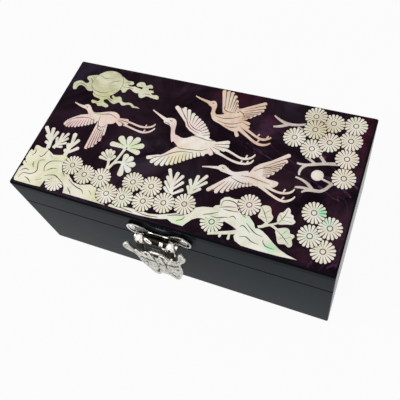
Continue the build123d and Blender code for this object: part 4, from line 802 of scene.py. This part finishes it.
def relief(spot):
    """Height of the cast face over its ground, and whether it is dark there."""
    side = Vector((abs(spot.x), spot.y))
    if side.x < 7.0 and side.y > -9.4 + 0.25 * side.x:
        return -0.25, True
    height, dark = 0.0, False
    for line in veins:
        gap = to_line(side, [Vector(p) for p in line])
        height = max(height, 0.5 * (1 - gap / 0.75))
    across, along = side.x - oval[0], side.y - oval[1]
    turned = Vector((across * 0.94 + along * 0.34, along * 0.94 - across * 0.34))
    ring_place = math.hypot(turned.x / 2.6, turned.y / 1.25)
    if ring_place < 1.0:
        height = 0.62 if ring_place > 0.55 else 0.38
    if side.x > 13.2 and side.y > -2.6:
        height = 0.5
    for line, half in grooves:
        if to_line(side, [Vector(p) for p in line]) < half:
            height, dark = -0.55, True
    for centre, radius in pits:
        if (side - Vector(centre)).length < radius:
            height, dark = -0.5, True
    body = 1.9 if side.y > -17 else 1.9 + (side.y + 17) * 0.09
    if side.x < body and side.y < -8.4:
        waves = 0.5 + 0.5 * math.cos((side.y + 9.6) * math.tau / 2.3)
        height = 1.15 * math.sqrt(1 - (side.x / body) ** 2) - 0.3 * (1 - waves)
        dark = math.hypot(side.x / 0.75, (side.y + 15.0) / 1.35) < 1
        height = 0.1 if dark else height
    grain = noise.noise(Vector((spot.x * 1.3, spot.y * 1.3, 0))) * 0.6
    return height + (0 if dark else grain), dark


def inside(spot, outline):
    hit = False
    for a, b in zip(outline, outline[1:] + outline[:1]):
        if (a.y > spot.y) != (b.y > spot.y):
            if spot.x < a.x + (spot.y - a.y) / (b.y - a.y) * (b.x - a.x):
                hit = not hit
    return hit


def butterfly():
    shape = bmesh.new()
    hollow = shape.verts.layers.float.new("hollow")
    outline = arc_outline(both_sides(wing_points))
    ground = wing_back + wing_thickness - 0.15
    layers = [(outline, wing_back), (outline, ground + 0.25),
              (inset_outline(outline, 0.25), ground + 0.55),
              (inset_outline(outline, 0.6), ground + 0.55),
              (inset_outline(outline, 0.95), ground + 0.1)]
    rows = [[shape.verts.new(hang(p.x, out, p.y)) for p in line] for line, out in layers]
    bridge(shape, rows)
    shape.faces.new(rows[0])
    # Cast face: a fine grid under the rim
    step, wide, deep, tall = 0.26, 68, 120, 12
    edge = inset_outline(outline, 0.45)
    border = outline + outline[:1]
    cast = {}
    for i in range(-wide, wide + 1):
        for j in range(-deep, tall + 1):
            spot = Vector((i * step, j * step))
            if inside(spot, edge):
                height, dark = relief(spot)
                fade = max(0.0, min(1.0, (to_line(spot, border) - 0.8) / 0.8))
                cast[i, j] = (0.12 + (height - 0.12) * fade, dark and fade > 0.5)
    grid = {}
    for i, j in cast:
        around = [cast[key] for key in ((i + a, j + b) for a in (-1, 0, 1) for b in (-1, 0, 1))
                  if key in cast]
        height = sum(height for height, _ in around) / len(around)
        dark = 1.3 * sum(dark for _, dark in around) / len(around)
        vert = shape.verts.new(hang(i * step, ground + height, j * step))
        vert[hollow] = min(1.0, dark + 1.8 * max(0.0, 0.06 - height))
        grid[i, j] = vert
    for i, j in grid:
        corners = [grid.get(key) for key in ((i, j), (i + 1, j), (i + 1, j + 1), (i, j + 1))]
        if all(corners):
            shape.faces.new(corners)
    face = ground + 0.6
    for side in (-1, 1):
        # Feelers and the bright bar beside them
        curl = [(2.4, -10.0), (2.7, -7.0), (2.7, -4.4), (4.1, -3.0), (5.7, -3.9), (6.3, -6.2),
                (5.4, -8.0)]
        path = smooth_line([hang(side * x, face + 0.5, z) for x, z in curl])
        tube(shape, path, 0.46, strap_metal)
        bar = [(6.4, -9.4), (7.6, -7.4), (9.0, -4.8), (9.8, -3.0)]
        path = smooth_line([hang(side * x, face + 0.5, z) for x, z in bar], 3)
        tube(shape, path, 0.5, strap_metal)
        arm(shape, side)
    # A dark sheet under the barrel, between the arms: painted shade where the latch's shadow
    # falls
    shade_sheet_path = [Vector((0, box_front - pin_out - out, pin_level + up)) for out, up in
           ((3.3, 0.1), (3.4, -1.4), (3.7, -2.8), (3.9, -4.8))]
    blade(shape, shade_sheet_path, [5.9, 5.9], 0.25, painted_shade_slot)
    return finish_piece("butterfly_cast", shape, "hasp",
                        [nickel("cast_nickel", 900.0, 0.26, 0.44, 0.0004, (0.65, 0.65, 0.59),
                                750.0, 0.9, True),
                         painted_shade_metal(),
                         nickel("strap_nickel", 900.0, 0.18, 0.3, 0.00006, (0.76, 0.72, 0.66),
                                180.0)], ["butterfly_hasp"])


def inset_outline(points, amount):
    """Move a closed outline inwards."""
    area = sum(a.x * b.y - b.x * a.y for a, b in zip(points, points[1:] + points[:1]))
    way = 1 if area > 0 else -1
    out = []
    count = len(points)
    for k, point in enumerate(points):
        along = (points[(k + 1) % count] - points[k - 1]).normalized()
        out.append(point + Vector((-along.y, along.x)) * amount * way)
    return out


def about_pin(x, radius, turn):
    """A point about the latch pin: 0 degrees faces the front, 90 is up."""
    turn = math.radians(turn)
    return Vector((x, box_front - pin_out - radius * math.cos(turn),
                   pin_level + radius * math.sin(turn)))


def arm(shape, side):
    """A strap that wraps the pin, with an eyelet, and runs down into a wing."""
    middle = side * 8.3
    start, sweep, steps = -62, 316, 28
    rows = []
    for k in range(steps + 1):
        turn = start + sweep * k / steps
        half = 2.3 - 0.75 * max(0.0, math.sin(math.radians(turn - 20)))
        swell = 2.9 if turn < 60 or turn > 240 else 2.7
        row = [about_pin(middle - half, 1.0, turn), about_pin(middle - half, swell - 0.35, turn),
               about_pin(middle - half + 0.35, swell, turn),
               about_pin(middle + half - 0.35, swell, turn),
               about_pin(middle + half, swell - 0.35, turn), about_pin(middle + half, 1.0, turn)]
        rows.append([shape.verts.new(p) for p in row])
    caps(shape, rows, strap_metal)
    bridge(shape, rows, strap_metal)
    # The eyelet: a raised rim about a shallow hole whose walls and floor are painted near black
    # as shade
    eye, sides = 14, 16
    turns = [math.tau * k / sides for k in range(sides)]
    rims = []
    for size, radius in ((1.5, 2.75), (1.4, 3.15), (0.85, 3.2), (0.7, 2.95)):
        rims.append([shape.verts.new(about_pin(middle + size * math.cos(turn), radius,
                                               eye + math.degrees(size * math.sin(turn) / 2.9)))
                     for turn in turns])
    bridge(shape, rims[:3], strap_metal)
    bridge(shape, rims[2:], painted_shade_slot)
    shape.faces.new(rims[-1]).material_index = painted_shade_slot
    shape.faces.new(reversed(rims[0])).material_index = strap_metal
    # The strap's lower run into the wing is painted near black: painted shade under the eyelet
    path = [Vector((middle, box_front - pin_out - out, pin_level + up)) for out, up in
            ((2.4, -1.4), (3.3, -2.6), (4.1, -4.4), (4.3, -7.2))]
    blade(shape, path, [1.9, 2.0, 2.1, 1.8], 0.6, painted_shade_slot)


def blade(shape, path, widths, thickness, material=0):
    """A flat bar with rounded edges whose width runs along X."""
    line = smooth_line(path)
    last = len(line) - 1
    rows = []
    sides = 16
    for k, point in enumerate(line):
        along = (line[min(k + 1, last)] - line[max(k - 1, 0)]).normalized()
        lift = Vector((1, 0, 0)).cross(along).normalized()
        share = k / last * (len(widths) - 1)
        low = min(int(share), len(widths) - 2)
        width = widths[low] + (widths[low + 1] - widths[low]) * (share - low)
        row = []
        for s in range(sides):
            turn = math.tau * s / sides
            c, n = math.cos(turn), math.sin(turn)
            wide = math.copysign(abs(c) ** 0.6, c) * width
            deep = math.copysign(abs(n) ** 0.6, n) * thickness
            row.append(shape.verts.new(point + Vector((wide, 0, 0)) + lift * deep))
        rows.append(row)
    caps(shape, rows, material)
    bridge(shape, rows, material)


def barrel_trim():
    """The long eye and the small block on the barrel between the straps."""
    shape = bmesh.new()
    loop = [(-5.2, 52), (-4.9, 68), (-3.6, 62), (-2.2, 46), (-1.7, 32), (-2.4, 24), (-3.9, 34)]
    points = [about_pin(x, 2.3, turn) for x, turn in loop]
    path = smooth_line(points + points[:1])
    tube(shape, path, 0.45)
    for x, turn in ((2.9, 50), (3.9, 48)):
        tube(shape, [about_pin(x, 2.25, turn - 16), about_pin(x, 2.25, turn + 22)], 0.55)
    trim = nickel("trim_nickel", tint=(0.84, 0.8, 0.74))
    finish_piece("barrel_trim", shape, "lid", trim)


# Soft pieces inside

def node_box(node):
    low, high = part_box(node)
    return Vector(low) / mm, Vector(high) / mm


def soft_board(name, node, body, material, soft, grid=3.0):
    """A velvet covered board in a node's place, with turned edges and a slight wave."""
    low, high = node_box(node)
    size = high - low
    middle = (low + high) / 2
    shape = bmesh.new()
    bmesh.ops.create_cube(shape, size=1.0)
    bmesh.ops.scale(shape, vec=size, verts=shape.verts)
    bmesh.ops.translate(shape, vec=middle, verts=shape.verts)
    turn = min(soft, min(size) * 0.42)
    bmesh.ops.bevel(shape, geom=shape.edges[:], offset=turn, segments=3, profile=0.5,
                    affect="EDGES")
    for axis in range(3):
        cuts = max(0, int(size[axis] / grid) - 1)
        for k in range(cuts):
            at = low[axis] + size[axis] * (k + 1) / (cuts + 1)
            normal = Vector((0, 0, 0))
            normal[axis] = 1
            spot = normal * at
            bmesh.ops.bisect_plane(shape, geom=shape.verts[:] + shape.edges[:] + shape.faces[:],
                                   plane_co=spot, plane_no=normal)
    for vert in shape.verts:
        ripple = abs(noise.noise(vert.co * 0.35)) * 0.05
        inward = middle - vert.co
        for axis in range(3):
            if abs(abs(inward[axis]) - size[axis] / 2) < 0.01:
                vert.co[axis] += math.copysign(ripple, inward[axis])
    return finish_piece(name, shape, body, material, [node])


def ring_roll(k, material):
    """A velvet roll with a crowned top, drawn-in sides and turned ends."""
    low, high = node_box(f"ring_roll_{k}")
    middle = (low.y + high.y) / 2
    half = (high.y - low.y) / 2
    tall = high.z - low.z
    around, along = 40, 46
    shape = bmesh.new()
    rows = []
    for i in range(along + 1):
        share = i / along
        x = low.x + (high.x - low.x) * share
        edge = min(share, 1 - share) * (high.x - low.x)
        close = math.sqrt(max(0.0, 1 - max(0.0, 1 - edge / 2.2) ** 2)) if edge < 2.2 else 1.0
        close = 0.62 + 0.38 * close
        row = []
        for j in range(around):
            turn = math.tau * j / around
            c, s = math.cos(turn), math.sin(turn)
            y = math.copysign(abs(c) ** 0.55, c) * half
            z = math.copysign(abs(s) ** (0.8 if s > 0 else 0.35), s) * tall / 2
            if s < 0:
                y *= 0.93
            dimple = 0.14 * noise.noise(Vector((x * 0.22, y * 0.4 + k * 7.0, z * 0.4)))
            scale = close * (0.985 + dimple * 0.1)
            row.append(shape.verts.new((x, middle + y * scale, low.z + tall / 2 + z * scale)))
        rows.append(row)
    bridge(shape, rows)
    caps(shape, rows)
    piece = finish_piece(f"velvet_roll_{k}", shape, "case", material,
                         [f"ring_roll_{k}"])


def side_lining_ring(material):
    """The velvet band inside the lid's rails."""
    low, high = node_box("lid_side_lining")
    thick = 1.2
    corners = [(low.x, low.y), (high.x, low.y), (high.x, high.y), (low.x, high.y)]
    inner = [(low.x + thick, low.y + thick), (high.x - thick, low.y + thick),
             (high.x - thick, high.y - thick), (low.x + thick, high.y - thick)]

    def around(points, z):
        out = []
        for (ax, ay), (bx, by) in zip(points, points[1:] + points[:1]):
            count = 40 if abs(bx - ax) > abs(by - ay) else 18
            for k in range(count):
                share = k / count
                out.append((ax + (bx - ax) * share, ay + (by - ay) * share, z))
        return out

    # Down the outside, round the soft lower edge and up the inside
    turn = 0.4
    middles = [[(a[0] + (b[0] - a[0]) * share, a[1] + (b[1] - a[1]) * share)
                for a, b in zip(corners, inner)] for share in (0.35, 0.65)]
    loops = [(corners, high.z), (corners, low.z + turn), (middles[0], low.z + 0.08),
             (middles[1], low.z + 0.08), (inner, low.z + turn), (inner, high.z)]
    shape = bmesh.new()
    rows = [[shape.verts.new(p) for p in around(points, z)] for points, z in loops]
    bridge(shape, rows, closed=True)
    finish_piece("velvet_lid_band", shape, "lid", material, ["lid_side_lining"], False)


def interior():
    cloth = velvet()
    for node in ("lining_floor", "lining_front", "lining_back", "lining_left", "lining_right",
                 "cross_divider", "long_divider", "short_divider"):
        soft = 0.9 if "divider" in node else 0.4
        soft_board(f"velvet_{node}", node, "case", cloth, soft)
    soft_board("velvet_ceiling", "lid_ceiling_lining", "lid", cloth, 0.3)
    side_lining_ring(cloth)
    for k in range(1, 7):
        ring_roll(k, cloth)
    pad = soft_board("felt_pad", "base_felt", "case", felt(), 0.4, 4.0)


# Materials on the CAD nodes that stay

def dress(names, material):
    for name in names:
        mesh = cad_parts[name].data
        mesh.materials.clear()
        mesh.materials.append(material)


white = (0.92, 0.88, 0.82)
pink = (0.88, 0.62, 0.58)
peach = (0.74, 0.52, 0.36)
iris_green = (0.3, 0.78, 0.42)

# Mother-of-pearl: nodes, name, tones, and patches as x, y, radius, share and colour
pearl = [
    (["inlay_sun", "inlay_clouds"], "sky",
     [(0.46, 0.46, 0.27), (0.64, 0.62, 0.4), (0.76, 0.74, 0.57)],
     [(-58.5, 20, 9, 0.8, (0.55, 0.56, 0.25)), (-64, 32, 7, 0.5, (0.84, 0.8, 0.6)),
      (-38, 29, 9, 0.5, (0.78, 0.74, 0.6))]),
    (["inlay_crane_left"], "crane_left",
     [(0.72, 0.46, 0.42), (0.82, 0.62, 0.56), (0.88, 0.78, 0.68)],
     [(-66, 1, 9, 0.5, (0.9, 0.62, 0.66)), (-44, 9, 8, 0.5, (0.82, 0.56, 0.44)),
      (-55, 9, 6, 0.5, (0.8, 0.7, 0.5))]),
    (["inlay_crane_large"], "crane_large", [pink, (0.86, 0.77, 0.67), white],
     [(-2, -6, 12, 0.7, (0.76, 0.74, 0.4)), (0, 15, 9, 0.45, (0.92, 0.72, 0.72)),
      (4, 5, 9, 0.5, (0.9, 0.86, 0.74)), (-13, 10, 6, 0.6, (0.6, 0.48, 0.44))]),
    (["inlay_crane_back"], "crane_back",
     [(0.64, 0.4, 0.28), (0.77, 0.56, 0.42), (0.85, 0.7, 0.58)],
     [(6, 24, 8, 0.4, (0.8, 0.64, 0.42)), (18, 17, 9, 0.4, (0.82, 0.58, 0.48))]),
    (["inlay_crane_right"], "crane_right",
     [(0.76, 0.58, 0.46), (0.83, 0.7, 0.6), (0.87, 0.82, 0.75)],
     [(28, -8, 10, 0.6, (0.84, 0.82, 0.84)), (44, 2, 8, 0.6, peach),
      (48, 6, 5, 0.5, (0.9, 0.6, 0.6))]),
    (["inlay_trunk"], "trunk", [(0.64, 0.66, 0.42), (0.78, 0.75, 0.54), (0.87, 0.83, 0.68)],
     [(-50, -37, 10, 0.5, (0.84, 0.82, 0.76)), (-70, -28, 9, 0.4, (0.76, 0.78, 0.5)),
      (-60, -22, 5, 0.6, (0.7, 0.74, 0.34))]),
    (["inlay_branch"], "branch", [(0.66, 0.68, 0.5), (0.82, 0.8, 0.66), (0.9, 0.88, 0.8)],
     [(44, -32, 9, 0.4, (0.7, 0.84, 0.72)), (55, -38, 5, 0.6, iris_green),
      (10, -38, 5, 0.6, (0.55, 0.84, 0.42)), (33, -24, 6, 0.5, (0.9, 0.68, 0.62)),
      (41, -27, 5, 0.4, (0.6, 0.84, 0.6))]),
    (["inlay_pine_leaves"], "leaves", [(0.68, 0.66, 0.5), (0.82, 0.78, 0.67), white],
     [(8, -18, 8, 0.4, (0.78, 0.84, 0.64)), (-72, -13, 14, 0.4, (0.72, 0.68, 0.58))]),
    (["inlay_berry_leaves"], "berry", [(0.66, 0.66, 0.48), (0.78, 0.75, 0.6), (0.86, 0.84, 0.76)],
     [(-28, -5, 7, 0.6, (0.56, 0.8, 0.36)), (-37, -4, 6, 0.4, (0.7, 0.76, 0.4)),
      (-27, -18, 6, 0.5, (0.86, 0.86, 0.9)), (59, -31, 6, 0.5, (0.6, 0.8, 0.56)),
      (49, -24, 6, 0.4, (0.86, 0.78, 0.62))]),
    (["inlay_twigs"], "twigs", [(0.46, 0.38, 0.34), (0.6, 0.52, 0.46), (0.76, 0.7, 0.62)],
     [(38, 28, 9, 0.4, (0.56, 0.42, 0.32)), (64, 3, 5, 1.0, (0.92, 0.84, 0.74))]),
    (["inlay_flowers_front", "inlay_flowers_right"], "flowers",
     [(0.74, 0.7, 0.52), (0.86, 0.8, 0.67), (0.92, 0.89, 0.8)],
     [(39, -20, 7, 0.6, (0.92, 0.72, 0.68)), (72, -15, 4, 0.9, iris_green),
      (76, -19, 4, 0.6, (0.4, 0.8, 0.6)), (69, -27, 6, 0.4, (0.6, 0.82, 0.66)),
      (60, 31, 15, 0.8, (0.68, 0.58, 0.37)), (-10, -24, 7, 0.4, (0.86, 0.74, 0.56)),
      (25, -34, 6, 0.5, (0.58, 0.82, 0.5)), (76, 15, 20, 0.5, (0.9, 0.76, 0.64)),
      (-20, -35, 6, 0.4, (0.66, 0.86, 0.6))])]


def dress_frame():
    sides = ("front", "back", "left", "right")
    dress([f"case_{side}_wall" for side in sides] + ["case_bottom_board"]
          + [f"lid_{side}_rail" for side in sides], black_lacquer())
    dress(["lid_top_board"], purple_lacquer())
    dress(["mirror"], mirror_glass())
    hinges = [f"hinge_{side}_{part}" for side in ("left", "right")
              for part in ("upper_leaf", "lower_leaf", "pin")]
    dress(hinges + ["mirror_frame", "hinge_upper_screws", "hinge_lower_screws", "keeper_plate",
                    "keeper_stud", "keeper_pins", "latch_pin", "latch_screws", "catch_clip",
                    "clip_rivet"], nickel("polished_nickel"))
    dress(["latch_plate"], plate_nickel())
    for nodes, name, tones, patches in pearl:
        scale = 70.0 if name == "flowers" else 55.0
        dress(nodes, nacre(f"nacre_{name}", tones, map(on_lid, patches), scale))


def main():
    bpy.context.scene.view_settings.view_transform = "Standard"
    make_camera()
    make_world()
    area_light("key", (-0.45, -0.35, 0.75), (0, 0, 0.04), 0.5, key_watts)
    area_light("fill", (0.6, -0.5, 0.5), (0, 0, 0.04), 0.6, fill_watts)
    make_floor()
    dress_frame()
    picture_engraving()
    butterfly()
    barrel_trim()
    interior()


main()
